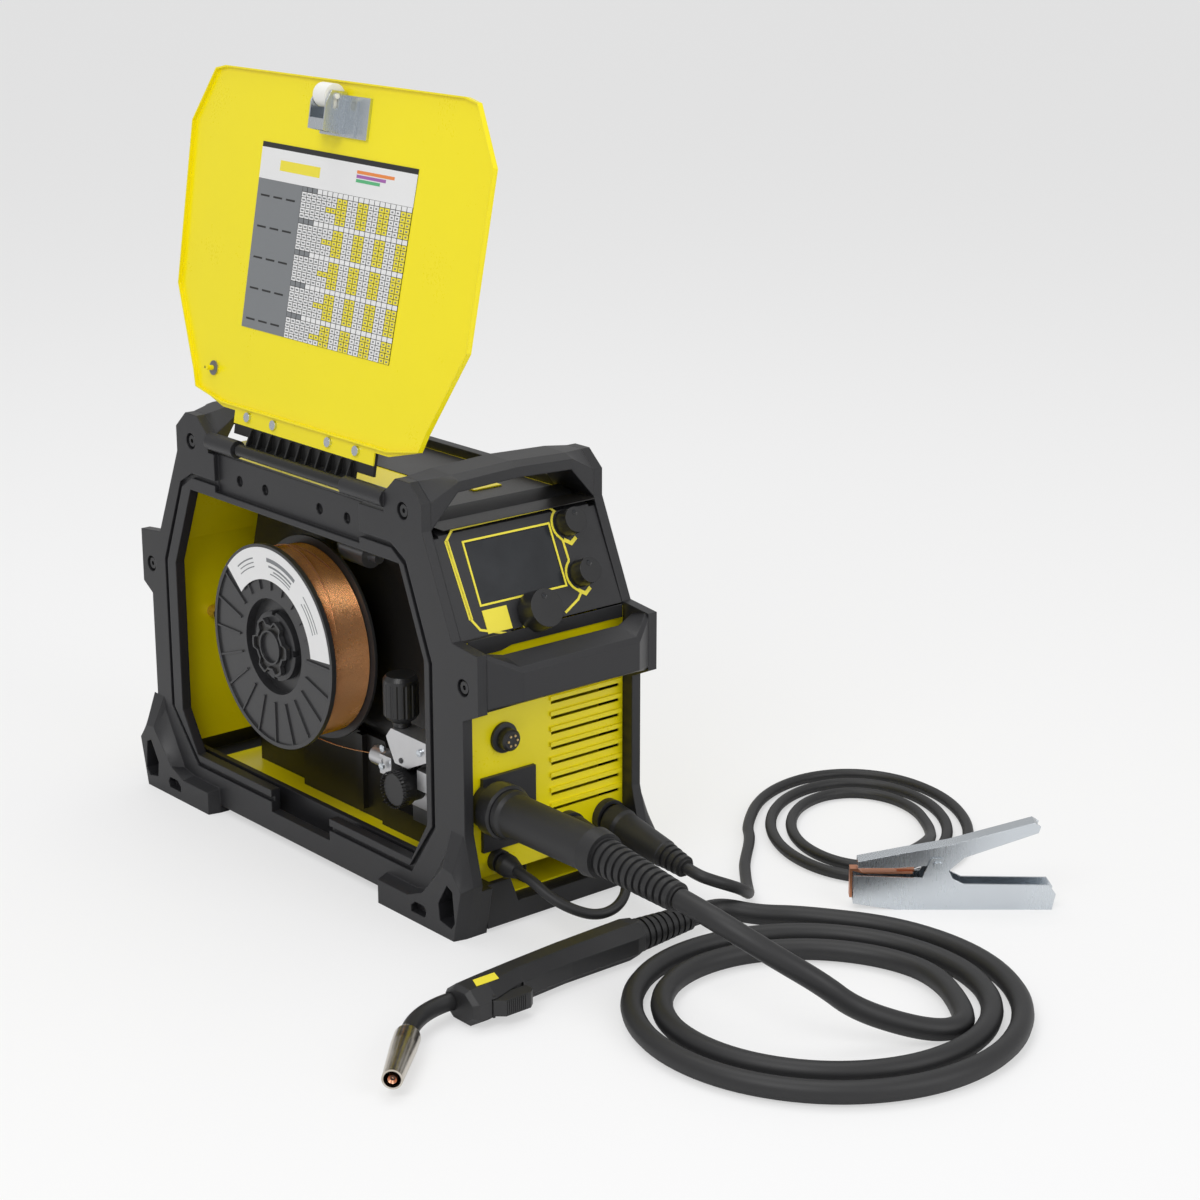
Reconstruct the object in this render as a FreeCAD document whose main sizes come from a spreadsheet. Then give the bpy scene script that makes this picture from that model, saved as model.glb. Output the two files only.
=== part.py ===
import FreeCAD, Part
import math
import os
import re
import Sketcher
from types import SimpleNamespace
from FreeCAD import Placement, Rotation, Vector

# Portable wire-feed welding machine with its torch, earth lead and opened side door.
# +Z is up, the front panel faces -Y, the door and the wire compartment face -X.
# The origin lies on the floor at the centre of the four feet. Lengths are millimetres.

doc = FreeCAD.newDocument("welding_machine")
sheet = doc.addObject("Spreadsheet::Sheet", "sizes")

SIZES = [
    # side frames, as reaches from the centre and heights above the floor
    ("frame_side", 102), ("frame_thickness", 10), ("rail_top", 370), ("rail_low", 8),
    ("block_top", 403), ("block_shoulder", 387), ("block_inner_front", 150),
    ("block_inner_rear", 136), ("block_bevel", 18), ("brow_front", 206), ("brow_rear", 192),
    ("brow_low", 362), ("waist_front", 246), ("waist_rear", 232), ("waist_height", 272),
    ("seat_front", 282), ("seat_rear", 268), ("seat_top", 268), ("seat_low", 214),
    ("seat_bevel", 10), ("post_front", 260), ("post_rear", 252), ("toe_reach", 272),
    ("toe_height", 52), ("foot_top", 97), ("sole_outer", 261), ("sole_inner", 141),
    ("foot_side", 114.5), ("foot_inner", 80), ("foot_step", 26), ("foot_back", 235),
    ("foot_lean", 3), ("foot_window_depth", 22), ("foot_slot_depth", 8),
    # side opening and the groove that the door's rim covers
    ("opening_top", 327), ("opening_top_half", 171), ("opening_knee", 246),
    ("opening_half", 205), ("opening_low_knee", 92), ("opening_low_half", 180),
    ("opening_low", 51), ("groove_width", 5), ("groove_depth", 4), ("groove_front", 217),
    ("groove_rear", 225), ("groove_top", 344), ("groove_low", 39),
    ("recess_depth", 5), ("recess_front", 112), ("recess_rear", 126), ("recess_low", 333),
    ("rail_hole_radius", 5.2), ("rail_hole_depth", 4),
    ("screw_head_radius", 5.6), ("screw_head_height", 3.6), ("screw_shank_radius", 3),
    ("screw_recess_radius", 8), ("screw_recess_depth", 5), ("screw_top_front", 178),
    ("screw_top_rear", 166), ("screw_top_height", 376), ("screw_waist_front", 261),
    ("screw_waist_rear", 251), ("screw_waist_height", 235),
    # handles and bumpers
    ("grip_half", 64), ("grip_top", 407), ("grip_low", 390), ("grip_outer", 210),
    ("grip_depth", 48), ("grip_outer_rear", 196),
    ("bumper_front", 300), ("bumper_rear", 284), ("bumper_half", 66),
    ("bumper_top", 254), ("bumper_low", 222), ("bumper_depth", 29), ("bumper_rise", 6),
    # base, sheets and divider
    ("sheet_thickness", 1.5), ("side_gap", 0.3), ("front_sheet_reach", 247),
    ("rear_sheet_reach", 230), ("floor_height", 20), ("roof_height", 360), ("roof_front", 160),
    ("divider_place", 15), ("divider_step", 9), ("tray_wall", 6), ("tray_low", 14), ("skirt_low", 4),
    ("tray_top", 46), ("panel_foot", 272),
    ("louvre_count", 8), ("louvre_pitch", 14.6), ("louvre_half", 40), ("louvre_height", 8),
    ("louvre_low", 90), ("louvre_place", 47), ("louvre_rise", 3),
    ("vent_count", 14), ("vent_pitch", 13), ("vent_length", 70), ("vent_width", 5),
    ("vent_low", 110),
    # control panel, measured down its slope from the top edge
    ("panel_lean", 25.2), ("panel_top", 356), ("panel_thickness", 4), ("panel_crest", 368),
    ("panel_crest_reach", 167), ("panel_length", 94),
    ("window_width", 94.7), ("window_length", 55.5), ("window_middle", -13), ("window_drop", 11),
    ("window_thickness", 2), ("knob_place", 54.5), ("knob_upper_drop", 13),
    ("knob_middle_drop", 60), ("knob_radius", 12.5), ("knob_height", 16), ("dial_place", -7),
    ("dial_drop", 84), ("dial_radius", 18.5), ("dial_height", 20), ("stem_radius", 3),
    ("stem_depth", 8), ("running_gap", 0.1),
    # wire spool and hub
    ("spool_place", 48), ("spool_height", 195), ("spool_radius", 100), ("spool_outer", 93),
    ("spool_width", 50), ("flange_thickness", 3), ("rim_width", 4), ("rim_height", 2),
    ("barrel_radius", 52), ("barrel_wall", 5), ("spool_bore", 26), ("bore_wall", 2.5),
    ("bore_recess", 10), ("spool_ribs", 20), ("winding_radius", 86), ("winding_gap", 0.3),
    ("wire_radius", 0.6), ("wire_turns", 24), ("wire_pitch", 1.7), ("hub_bore", 14),
    ("hub_nut_radius", 34), ("hub_nut_height", 8), ("hub_plate_radius", 42),
    # wire feeder
    ("wire_line_place", -64), ("wire_line_height", 114), ("roll_place", -130),
    ("roll_radius", 15), ("roll_width", 12), ("roll_cap_radius", 17), ("roll_cap_length", 14),
    ("axle_radius", 4), ("pressure_roll_radius", 11), ("pressure_axle_radius", 2.5),
    ("feeder_plate_outer", 52), ("feeder_plate_thickness", 6), ("guide_radius", 9),
    ("arm_pivot_place", -176), ("arm_pivot_height", 142), ("arm_tip_place", -110),
    ("arm_width", 22), ("arm_wall", 3), ("tension_place", -117), ("tension_radius", 16.5),
    ("tension_height", 50), ("tension_low", 153), ("tension_rod_radius", 3),
    ("tension_pivot_height", 132), ("motor_radius", 29), ("motor_length", 70),
    ("motor_place", -142), ("motor_height", 82),
    # door and hinge; heights on the door are measured from the hinge along the sheet
    ("hinge_place", -98), ("hinge_height", 381), ("hinge_rod_radius", 3), ("boss_radius", 8.5),
    ("boss_rear_end", 89), ("boss_front_end", 87), ("door_lean", 10),
    ("door_offset", 8.2), ("door_thickness", 1.5), ("door_rim", 3.8), ("door_half_low", 187),
    ("door_half_knee", 230), ("door_half_wide", 235), ("door_half_top", 203),
    ("door_half_end", 186), ("door_low", 62), ("door_knee", 140), ("door_wide", 297),
    ("door_top", 349), ("door_end", 352.5), ("door_tab_half", 113), ("door_tab_low", 22),
    ("door_shoulder", 34), ("bolt_drop", 31), ("bolt_outer_place", 88),
    ("bolt_inner_place", 44.5), ("bolt_centre", 1.5), ("bolt_head_radius", 4.6),
    ("bolt_head_height", 2.6), ("bolt_shank_radius", 2.5), ("bracket_thickness", 3),
    ("bracket_half", 85), ("bracket_low", 12), ("bracket_knuckle_radius", 6),
    ("bracket_rib_count", 11), ("bracket_rib_width", 2),
    # latch, measured like the door
    ("latch_front", 50), ("latch_rear", 22), ("latch_low", 303), ("latch_high", 340), ("latch_plate", 3),
    ("latch_reach", 17), ("latch_leg_front", 13), ("latch_leg_rear", 8), ("latch_wall", 1.5),
    ("roller_drop", 338), ("roller_radius", 11), ("roller_depth", 14.4), ("roller_travel", 8),
    ("pin_radius", 2.5),
    # rear fittings and inner units
    ("fan_place", 36), ("fan_height", 110), ("fan_radius", 46), ("fan_depth", 22),
    ("fan_hub_radius", 18), ("fan_shaft_radius", 4), ("fan_blades", 7), ("grille_bars", 9),
    ("unit_front", 95), ("unit_rear", 150), ("unit_left", -11), ("unit_right", 73), ("unit_top", 205),
    ("unit_fin_height", 30),
    ("gland_place", 66), ("gland_height", 185), ("gland_radius", 13), ("gland_bore", 6),
    ("gland_length", 20), ("inlet_place", -48), ("inlet_height", 180), ("inlet_radius", 7),
    ("inlet_bore", 3), ("inlet_nipple_radius", 4.5), ("inlet_nipple_length", 22),
    ("switch_place", 14), ("switch_height", 188), ("switch_half", 13), ("switch_tall", 20),
    ("valve_place", -28), ("valve_reach", -26), ("valve_height", 289), ("valve_radius", 12),
    ("valve_length", 38),
    # front fittings, plugs and leads
    ("socket_radius", 14), ("remote_place", -48), ("remote_height", 174), ("gun_radius", 18),
    ("gun_nut_radius", 25), ("gun_length", 158), ("gun_relief_length", 98), ("gun_relief_fall", 8),
    ("gun_relief_radius", 17), ("torch_cable_radius", 9.5), ("cable_lift", 0.55), ("lead_place", -57),
    ("lead_height", 60), ("lead_socket_radius", 10.5),
    ("middle_place", 24), ("outlet_place", 72), ("outlet_height", 69), ("outlet_radius", 17),
    ("plug_radius", 13), ("plug_length", 110), ("plug_droop", 9), ("lead_radius", 4.8),
    ("earth_cable_radius", 5.5),
    # torch, lying along X
    ("torch_tail", 55), ("torch_line", -381), ("torch_height", 17), ("torch_relief_radius", 15),
    ("neck_radius", 7.5), ("neck_angle", 44.5), ("neck_bend", 32), ("nozzle_radius", 11),
    ("nozzle_mouth", 8.5), ("nozzle_bore", 7), ("nozzle_length", 77), ("tip_radius", 3.5),
    ("trigger_pin_radius", 1.2),
    # earth clamp
    ("clamp_line", -180), ("clamp_half", 10), ("clamp_wall", 1.6), ("rivet_place", 48),
    ("rivet_height", 43), ("rivet_radius", 4), ("spring_radius", 6.5), ("spring_wire", 1),
    ("spring_pitch", 2.3),
]

for row, (alias, number) in enumerate(SIZES, start=1):
    sheet.set(f"A{row}", alias)
    sheet.set(f"B{row}", str(number))
    sheet.setAlias(f"B{row}", alias)
doc.recompute()

s = SimpleNamespace(**{alias: float(sheet.get(alias)) for alias, number in SIZES})

FACES = {"front": "XZ_Plane", "side": "YZ_Plane", "floor": "XY_Plane"}
TURNS = {
    "x": Rotation(Vector(0, 1, 0), 90), "-x": Rotation(Vector(0, 1, 0), -90),
    "y": Rotation(Vector(1, 0, 0), -90), "-y": Rotation(Vector(1, 0, 0), 90),
    "z": Rotation(),
}
MATHS = ("sin", "cos", "tan", "atan", "sqrt")
nodes = []


# Expressions and document objects

def bind(text):
    # words in an expression are sizes of the sheet
    return re.sub(r"[a-z][a-z_]*", lambda word: word[0] if word[0] in MATHS else "sizes." + word[0],
                  str(text))


def drive(item, target, text):
    item.setExpression(target, bind(text))


def keep(item):
    nodes.append(item)
    return item


def body(label):
    item = doc.addObject("PartDesign::Body", label)
    item.Label = label
    return item


def outline(owner, face, loops, place):
    # closed polygons and circles, every corner tied to the sheet
    item = owner.newObject("Sketcher::SketchObject", owner.Name + "_outline")
    plane = next(part for part in owner.Origin.OriginFeatures if part.Role == FACES[face])
    item.AttachmentSupport = (plane, [""])
    item.MapMode = "FlatFace"
    drive(item, "AttachmentOffset.Base.z", place)
    driven = []
    for loop in loops:
        first = item.GeometryCount
        if loop[0] == "circle":
            item.addGeometry(Part.Circle(Vector(1, 1, 0), Vector(0, 0, 1), 1))
            driven.append((item.addConstraint(Sketcher.Constraint("DistanceX", -1, 1, first, 3, 1.0)),
                           loop[1]))
            driven.append((item.addConstraint(Sketcher.Constraint("DistanceY", -1, 1, first, 3, 1.0)),
                           loop[2]))
            driven.append((item.addConstraint(Sketcher.Constraint("Radius", first, 1.0)), loop[3]))
            continue
        count = len(loop)
        rough = [Vector(math.cos(math.tau * i / count), math.sin(math.tau * i / count),
                        0) for i in range(count)]
        item.addGeometry([Part.LineSegment(rough[i], rough[(i + 1) % count]) for i in range(count)])
        for i in range(count):
            item.addConstraint(Sketcher.Constraint("Coincident", first + i, 2, first + (i + 1) % count, 1))
        for i, (across, up) in enumerate(loop):
            driven.append((item.addConstraint(Sketcher.Constraint("DistanceX", -1, 1, first + i, 1, 1.0)),
                           across))
            driven.append((item.addConstraint(Sketcher.Constraint("DistanceY", -1, 1, first + i, 1, 1.0)),
                           up))
    for number, text in driven:
        drive(item, f"Constraints[{number}]", text)
    return item


def pad(owner, face, loops, start, depth):
    item = owner.newObject("PartDesign::Pad", owner.Name + "_pad")
    item.Profile = outline(owner, face, loops, start)
    drive(item, "Length", depth)
    owner.Tip = item
    return item


def pocket(owner, face, loops, start, depth):
    # cuts from start to start + depth along the plane's normal
    item = owner.newObject("PartDesign::Pocket", owner.Name + "_pocket")
    item.Profile = outline(owner, face, loops, f"({start}) + ({depth})")
    drive(item, "Length", depth)
    owner.Tip = item
    return item


def place(item, x, y, z, turn="z"):
    item.Placement = Placement(Vector(), TURNS[turn])
    drive(item, "Placement.Base.x", x)
    drive(item, "Placement.Base.y", y)
    drive(item, "Placement.Base.z", z)
    return item


def turned(label, profile, x, y, z, turn):
    # a revolved body; the profile's corners are radius and height along the axis
    item = body(label)
    feature = item.newObject("PartDesign::Revolution", label + "_turn")
    feature.Profile = outline(item, "front", [profile], 0)
    feature.ReferenceAxis = (feature.Profile[0], ["V_Axis"])
    feature.Angle = 360
    item.Tip = feature
    return place(item, x, y, z, turn)


def rod(label, radius, length, x, y, z, turn="z"):
    item = doc.addObject("Part::Cylinder", label)
    drive(item, "Radius", radius)
    drive(item, "Height", length)
    return place(item, x, y, z, turn)


def block(label, x, y, z, length, width, height):
    item = doc.addObject("Part::Box", label)
    drive(item, "Length", length)
    drive(item, "Width", width)
    drive(item, "Height", height)
    return place(item, x, y, z)


def join(label, *parts):
    item = doc.addObject("Part::MultiFuse", label)
    item.Label = label
    item.Shapes = list(parts)
    return item


def cut(label, base, *tools):
    item = doc.addObject("Part::Cut", label)
    item.Label = label
    item.Base = base
    item.Tool = tools[0] if len(tools) == 1 else join(label + "_tools", *tools)
    return item


def feature(label, shape, placement=None):
    # a shape made by Part's own functions from the sheet's sizes
    item = doc.addObject("Part::Feature", label)
    item.Label = label
    item.Shape = shape
    if placement:
        item.Placement = placement
    return keep(item)


def box_loop(left, low, right, high):
    return [(left, low), (right, low), (right, high), (left, high)]


def both_sides(half):
    # a loop that is the same on both sides of the vertical axis
    return half + [(f"-({across})", up) for across, up in reversed(half)]


def polygon(points):
    return Part.makePolygon([Vector(*point) for point in points] + [Vector(*points[0])])


def ruled(sections):
    return Part.makeLoft([polygon(section) for section in sections], True, True)


# Side frames: a thick plate with the compartment's opening, flared feet and screw recesses

def frame_half(sign, inner, brow, waist, seat, post):
    corners = [
        (inner, "rail_top"), (inner, "block_shoulder"), (f"{inner} + block_bevel", "block_top"),
        (f"{brow} - block_bevel", "block_top"), (brow, "block_shoulder"), (brow, "brow_low"),
        (waist, "waist_height"), (seat, "seat_top"), (seat, "seat_low"),
        (post, "seat_low - seat_bevel"), (post, "foot_top"), ("toe_reach", "toe_height"),
        ("sole_outer", "0"), ("sole_inner", "0"), ("sole_inner", "rail_low"),
    ]
    return [(f"{sign}({across})", up) for across, up in corners]


def groove_half(sign, side, inset):
    corners = [
        (f"{side} - 58", f"groove_top - {inset}"), (f"{side} - 36 - {inset} * 0.6",
                                                    f"groove_top - 12 - {inset}"),
        (f"{side} - {inset}", f"opening_knee - {inset} * 0.3"), (f"{side} - {inset}", "opening_low_knee"),
        (f"opening_low_half - {inset} * 0.6", f"groove_low + {inset}"),
    ]
    return [(f"{sign}({across})", up) for across, up in corners]


def foot(frame, sign):
    # a flared outer shell on the plate, lofted out to the foot's side, and a block under the tray
    root = [
        ("sole_inner", "0"), ("sole_inner", "foot_step"), ("door_half_end + 2", "foot_step"),
        ("door_half_top + 3", "hinge_height - door_top - 2"),
            ("door_half_wide + 3", "hinge_height - door_wide"),
        ("door_half_wide + 5", "foot_top"), ("sole_outer - foot_lean", "foot_top"),
            ("toe_reach", "toe_height"),
        ("sole_outer", "0"),
    ]
    tip = [
        ("sole_inner + foot_lean", "0"), ("sole_inner + foot_lean", "foot_step - foot_lean"),
        ("door_half_end + 4", "foot_step - foot_lean"),
        ("door_half_top + 9", "foot_step + 6"), ("door_half_wide + 5", "toe_height + 10"),
        ("door_half_wide + 8", "toe_height + 14"), ("sole_outer - 4", "toe_height + 12"),
        ("toe_reach - foot_lean", "toe_height - foot_lean"), ("sole_outer - foot_lean", "0"),
    ]
    loft = frame.newObject("PartDesign::AdditiveLoft", frame.Name + "_flare")
    loft.Profile = outline(frame, "side", [[(f"{sign}({a})", b) for a, b in root]], "-frame_side")
    loft.Sections = [outline(frame, "side", [[(f"{sign}({a})", b) for a, b in tip]], "-foot_side")]
    loft.Ruled = True
    frame.Tip = loft
    under = [("toe_reach - 1.5", "tray_top"), ("sole_outer", "0"), ("foot_back", "0"),
             ("foot_back", "tray_top")]
    under = [(f"{sign}({a})", b) for a, b in under]
    pad(frame, "side", [under], "-frame_side + frame_thickness",
        "frame_side - frame_thickness - foot_inner")
    window = [("238", "14"), ("236", "30"), ("249", "51"), ("257", "47"), ("260", "18"), ("255", "11")]
    window = [(f"{sign}(sole_outer - 261 + {a})", b) for a, b in window]
    pocket(frame, "side", [window], "-foot_side", "foot_window_depth")
    slot = [("195", "9"), ("195", "15"), ("201", "20"), ("215", "20"), ("218", "15"), ("216", "9")]
    slot = [(f"{sign}(sole_outer - 261 + {a})", b) for a, b in slot]
    pocket(frame, "side", [slot], "-foot_side", "foot_slot_depth")


SCREWS = [
    ("-screw_top_front", "screw_top_height"), ("screw_top_rear", "screw_top_height"),
    ("-screw_waist_front", "screw_waist_height"), ("screw_waist_rear", "screw_waist_height"),
]
BOLTS = ["-bolt_outer_place", "-bolt_inner_place", "bolt_inner_place", "bolt_outer_place"]


def side_frame(label, hinged):
    frame = body(label)
    front = frame_half("-", "block_inner_front", "brow_front", "waist_front", "seat_front", "post_front")
    rear = frame_half("", "block_inner_rear", "brow_rear", "waist_rear", "seat_rear", "post_rear")
    pad(frame, "side", [front + rear[::-1]], "-frame_side", "frame_thickness")
    opening = [
        ("opening_top_half", "opening_top"), ("opening_half", "opening_knee"),
        ("opening_half", "opening_low_knee"), ("opening_low_half", "opening_low"),
    ]
    for sign in ("-", ""):
        foot(frame, sign)
    pocket(frame, "side", [both_sides(opening)], "-frame_side", "frame_thickness")
    recesses = [("circle", y, z, "screw_recess_radius") for y, z in SCREWS]
    pocket(frame, "side", recesses, "-frame_side", "screw_recess_depth")
    holes = [("circle", y, z, "screw_shank_radius + running_gap") for y, z in SCREWS]
    pocket(frame, "side", holes, "-frame_side", "frame_thickness")
    if not hinged:
        return frame
    rings = [groove_half("-", "groove_front", inset) + groove_half("", "groove_rear", inset)[::-1]
             for inset in ("0", "groove_width")]
    pocket(frame, "side", rings, "-frame_side", "groove_depth")
    recess = box_loop("-recess_front", "recess_low", "recess_rear", "rail_top + 2")
    pocket(frame, "side", [recess], "-frame_side", "recess_depth")
    rail_holes = [("circle", f"bolt_centre + ({y})", "hinge_height - bolt_drop",
                   "rail_hole_radius") for y in BOLTS]
    pocket(frame, "side", rail_holes, "-frame_side + recess_depth", "rail_hole_depth")
    notch = box_loop("-latch_front", "hinge_height - roller_drop - roller_radius - 3", "latch_front - 2",
                     "opening_low + 2")
    pocket(frame, "side", [notch], "-frame_side", "frame_thickness")
    boss = ("circle", "hinge_place", "hinge_height", "boss_radius")
    pad(frame, "front", [boss], "-block_inner_rear", "block_inner_rear - boss_rear_end")
    pad(frame, "front", [boss], "boss_front_end", "block_inner_front - boss_front_end")
    hole = ("circle", "hinge_place", "hinge_height", "hinge_rod_radius + running_gap")
    pocket(frame, "front", [hole], "-block_inner_rear", "block_inner_rear + block_inner_front")
    return frame


keep(side_frame("side_frame_left", True))
pattern = side_frame("right_frame_pattern", False)
right_frame = doc.addObject("Part::Mirroring", "side_frame_right")
right_frame.Label = "side_frame_right"
right_frame.Source = pattern
right_frame.Normal = Vector(1, 0, 0)
keep(right_frame)


# Frame screws: eight button heads in the frames' recesses

def frame_screw(number, side, y, z):
    turn = "x" if side < 0 else "-x"
    floor = f"{side} * (frame_side - screw_recess_depth)"
    head = rod(f"screw_head_{number}", "screw_head_radius", "screw_head_height", floor, y, z,
               "-x" if side < 0 else "x")
    shank = rod(f"screw_shank_{number}", "screw_shank_radius", "frame_thickness - screw_recess_depth",
                floor, y, z, turn)
    socket = rod(f"screw_socket_{number}", "screw_shank_radius * 0.7", "screw_head_height",
                 f"{side} * (frame_side - screw_recess_depth + 1.4)", y, z, "-x" if side < 0 else "x")
    return cut(f"screw_{number}", join(f"screw_blank_{number}", head, shank), socket)


screws = [frame_screw(2 * i + (side > 0), side, y, z) for i, (y, z) in enumerate(SCREWS) for side in (-1,
                                                                                                      1)]
frame_screws = doc.addObject("Part::Compound", "frame_screws")
frame_screws.Links = screws
keep(frame_screws)


# Handles and bumpers: bars that run between the frames, as ruled shapes through flat sections

inner_face = s.frame_side - s.frame_thickness


def handle(label, sign, block_inner, brow, grip_outer):
    end = [
        (block_inner, s.brow_low), (block_inner, s.block_shoulder),
           (block_inner + s.block_bevel, s.block_top),
        (brow - s.block_bevel, s.block_top), (brow, s.block_shoulder), (brow, s.brow_low),
    ]
    grip_inner = grip_outer - s.grip_depth
    middle = [
        (grip_inner, s.grip_low), (grip_inner - 2, s.grip_top - 9), (grip_inner + 8, s.grip_top),
        (grip_outer - 11, s.grip_top - 1), (grip_outer, s.grip_top - 5), (grip_outer - 2, s.grip_low + 2),
    ]
    stations = [(-inner_face, end, 0), (-s.grip_half, middle, 0), (0, middle, 2.5),
                (s.grip_half, middle, 0),
                (inner_face, end, 0)]
    return feature(label, ruled([[(x, sign * y, z + lift) for y, z in loop] for x, loop, lift in stations]))


handle("front_handle", -1, s.block_inner_front, s.brow_front, s.grip_outer)
handle("rear_handle", 1, s.block_inner_rear, s.brow_rear, s.grip_outer_rear)


def bumper(label, sign, reach, seat):
    back = reach - s.bumper_depth
    end = [
        (seat - 22, s.seat_low), (seat - 22, s.seat_top - 4), (seat - 4, s.seat_top),
        (seat, s.seat_top - 4), (seat, s.seat_low + 4), (seat - 4, s.seat_low),
    ]
    middle = [
        (back, s.bumper_low), (back, s.bumper_top + s.bumper_rise), (reach - 5, s.bumper_top + 1),
        (reach, s.bumper_top - 3), (reach, s.bumper_low + 3), (reach - 5, s.bumper_low),
    ]
    stations = [(-inner_face, end), (-s.bumper_half, middle), (s.bumper_half, middle), (inner_face, end)]
    return feature(label, ruled([[(x, sign * y, z) for y, z in loop] for x, loop in stations]))


bumper("front_bumper", -1, s.bumper_front, s.seat_front)
bumper("rear_bumper", 1, s.bumper_rear, s.seat_rear)


# Base tray: a shallow pan between the feet

tray = body("base_tray")
tray_outer = box_loop("-foot_inner + side_gap", "-sole_outer - 2", "foot_inner - side_gap",
                      "sole_outer + 2")
pad(tray, "floor", [tray_outer], "tray_low", "tray_top - tray_low")
for reach in ("-sole_outer - 2", "sole_outer + 2 - tray_wall"):
    pad(tray, "floor", [box_loop("-foot_inner + side_gap", reach, "foot_inner - side_gap",
                                 f"{reach} + tray_wall")],
        "skirt_low", "tray_low - skirt_low + 1")
tray_inner = box_loop("-foot_inner + side_gap + tray_wall", "-sole_outer - 2 + tray_wall",
                      "foot_inner - side_gap - tray_wall", "sole_outer + 2 - tray_wall")
pocket(tray, "floor", [tray_inner], "floor_height", "tray_top - floor_height")
scoop = [("-45", "floor_height + 2"), ("45", "floor_height + 2"), ("54", "tray_top + 1"),
         ("-54", "tray_top + 1")]
pocket(tray, "front", [scoop], "sole_outer - tray_wall", "tray_wall + 4")
keep(tray)

# Chassis sheets

sheet_half = "frame_side - frame_thickness - side_gap"

floor_pan = body("floor_pan")
pad(floor_pan, "floor", [box_loop("-foot_inner + 8", "-front_sheet_reach + 6", "foot_inner - 8",
                                  "rear_sheet_reach - 1")],
    "floor_height", "sheet_thickness")
keep(floor_pan)

front_sheet = body("front_sheet")
pad(front_sheet, "front", [box_loop(f"-({sheet_half})", "tray_top + 0.3", sheet_half, "panel_foot - 4")],
    "front_sheet_reach - sheet_thickness", "sheet_thickness")
for i in range(int(s.louvre_count)):
    low = f"louvre_low + {i} * louvre_pitch"
    slot = box_loop("louvre_place - louvre_half", low, "louvre_place + louvre_half",
                    f"{low} + louvre_height * 0.5")
    hood = box_loop("louvre_place - louvre_half - 2", f"{low} + louvre_height * 0.5 - 0.2",
                    "louvre_place + louvre_half + 2", f"{low} + louvre_height")
    pad(front_sheet, "front", [hood], "front_sheet_reach - 0.5", "louvre_rise")
    pocket(front_sheet, "front", [slot], "front_sheet_reach - sheet_thickness - 1", "louvre_rise + 3")
keep(front_sheet)

rear_sheet = body("rear_sheet")
rear_outer = [
    ("rear_sheet_reach", "tray_top + 0.3"), ("rear_sheet_reach", "waist_height - 12"),
    ("brow_rear - 4", "roof_height - 4"), ("brow_rear - 4", "roof_height - 0.3"),
]
rear_path = rear_outer + [(f"{y} - sheet_thickness * 1.1", z) for y, z in reversed(rear_outer)]
pad(rear_sheet, "side", [rear_path], f"-({sheet_half})", f"2 * ({sheet_half})")
rear_cut_start = "-rear_sheet_reach - 3"
pocket(rear_sheet, "front", [("circle", "gland_place", "gland_height", "gland_radius - 3 + running_gap"),
                             ("circle", "inlet_place", "inlet_height", "inlet_radius - 1 + running_gap"),
                             box_loop("switch_place - switch_half", "switch_height - switch_tall * 0.5",
                                      "switch_place + switch_half", "switch_height + switch_tall * 0.5")],
       rear_cut_start, "8")
for i in range(int(s.grille_bars)):
    drop = (i - (s.grille_bars - 1) / 2) * 2 / s.grille_bars
    reach = math.sqrt(1 - drop * drop)
    level = f"fan_height + fan_radius * {drop:.4f}"
    pocket(rear_sheet, "front", [box_loop(f"fan_place - fan_radius * {reach:.4f}", f"{level} - 3.5",
                                          f"fan_place + fan_radius * {reach:.4f}", f"{level} + 3.5")],
           rear_cut_start, "8")
keep(rear_sheet)

casing = body("casing")
side_half = [
    ("brow_rear - 40", "roof_height + sheet_thickness"), ("opening_top_half + 12", "opening_top + 6"),
    ("opening_half + 8", "opening_knee + 3"), ("opening_half + 8", "opening_low - 22"),
]
pad(casing, "side", [both_sides(side_half)], f"{sheet_half} - sheet_thickness", "sheet_thickness")
pad(casing, "front", [box_loop(f"-({sheet_half}) + 6", "roof_height", sheet_half,
                               "roof_height + sheet_thickness")],
    "-(brow_rear - 6)", "brow_rear - 6 + roof_front")
for i in range(int(s.vent_count)):
    across = f"(({i}) - (vent_count - 1) / 2) * vent_pitch"
    pocket(casing, "side", [box_loop(f"{across} - vent_width / 2", "vent_low",
                                     f"{across} + vent_width / 2", "vent_low + vent_length")],
           f"{sheet_half} - sheet_thickness - 1", "sheet_thickness + 2")
keep(casing)

divider = body("centre_divider")
divider_loop = [
    ("-front_sheet_reach + 12", "floor_height + sheet_thickness"),
                ("rear_sheet_reach - 32", "floor_height + sheet_thickness"),
    ("rear_sheet_reach - 32", "waist_height - 22"), ("brow_rear - 27", "roof_height - 0.3"),
    ("-brow_front + 34", "roof_height - 0.3"), ("-brow_front - 6", "waist_height - 7"),
    ("-front_sheet_reach + 12", "waist_height - 27"),
]
pad(divider, "side", [divider_loop], "-divider_place", "2")
pad(divider, "side", [box_loop("-34", "floor_height + sheet_thickness", "107", "105")],
    "-divider_place - divider_step", "divider_step")
pad(divider, "side", [box_loop("-110", "floor_height + sheet_thickness", "-33", "45")],
    "-divider_place - divider_step - 5", "divider_step + 5")
pad(divider, "side", [box_loop("-4", "floor_height + 9", "6", "105")],
    "-divider_place - divider_step - 6", "7")
pocket(divider, "side", [("circle", "motor_place", "motor_height", "motor_radius + side_gap")],
       "-divider_place - 16", "20")
keep(divider)

# Control panel: a leaning fascia with a shelf that rises behind it

lean = math.radians(s.panel_lean)
down_y, down_z = -math.sin(lean), -math.cos(lean)
out_y, out_z = -math.cos(lean), math.sin(lean)


def on_panel(x, drop, height):
    # a point by its place across the panel, its distance down the slope and its height off it
    return Vector(x, -s.brow_front + drop * down_y + height * out_y,
                  s.panel_top + drop * down_z + height * out_z)


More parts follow.
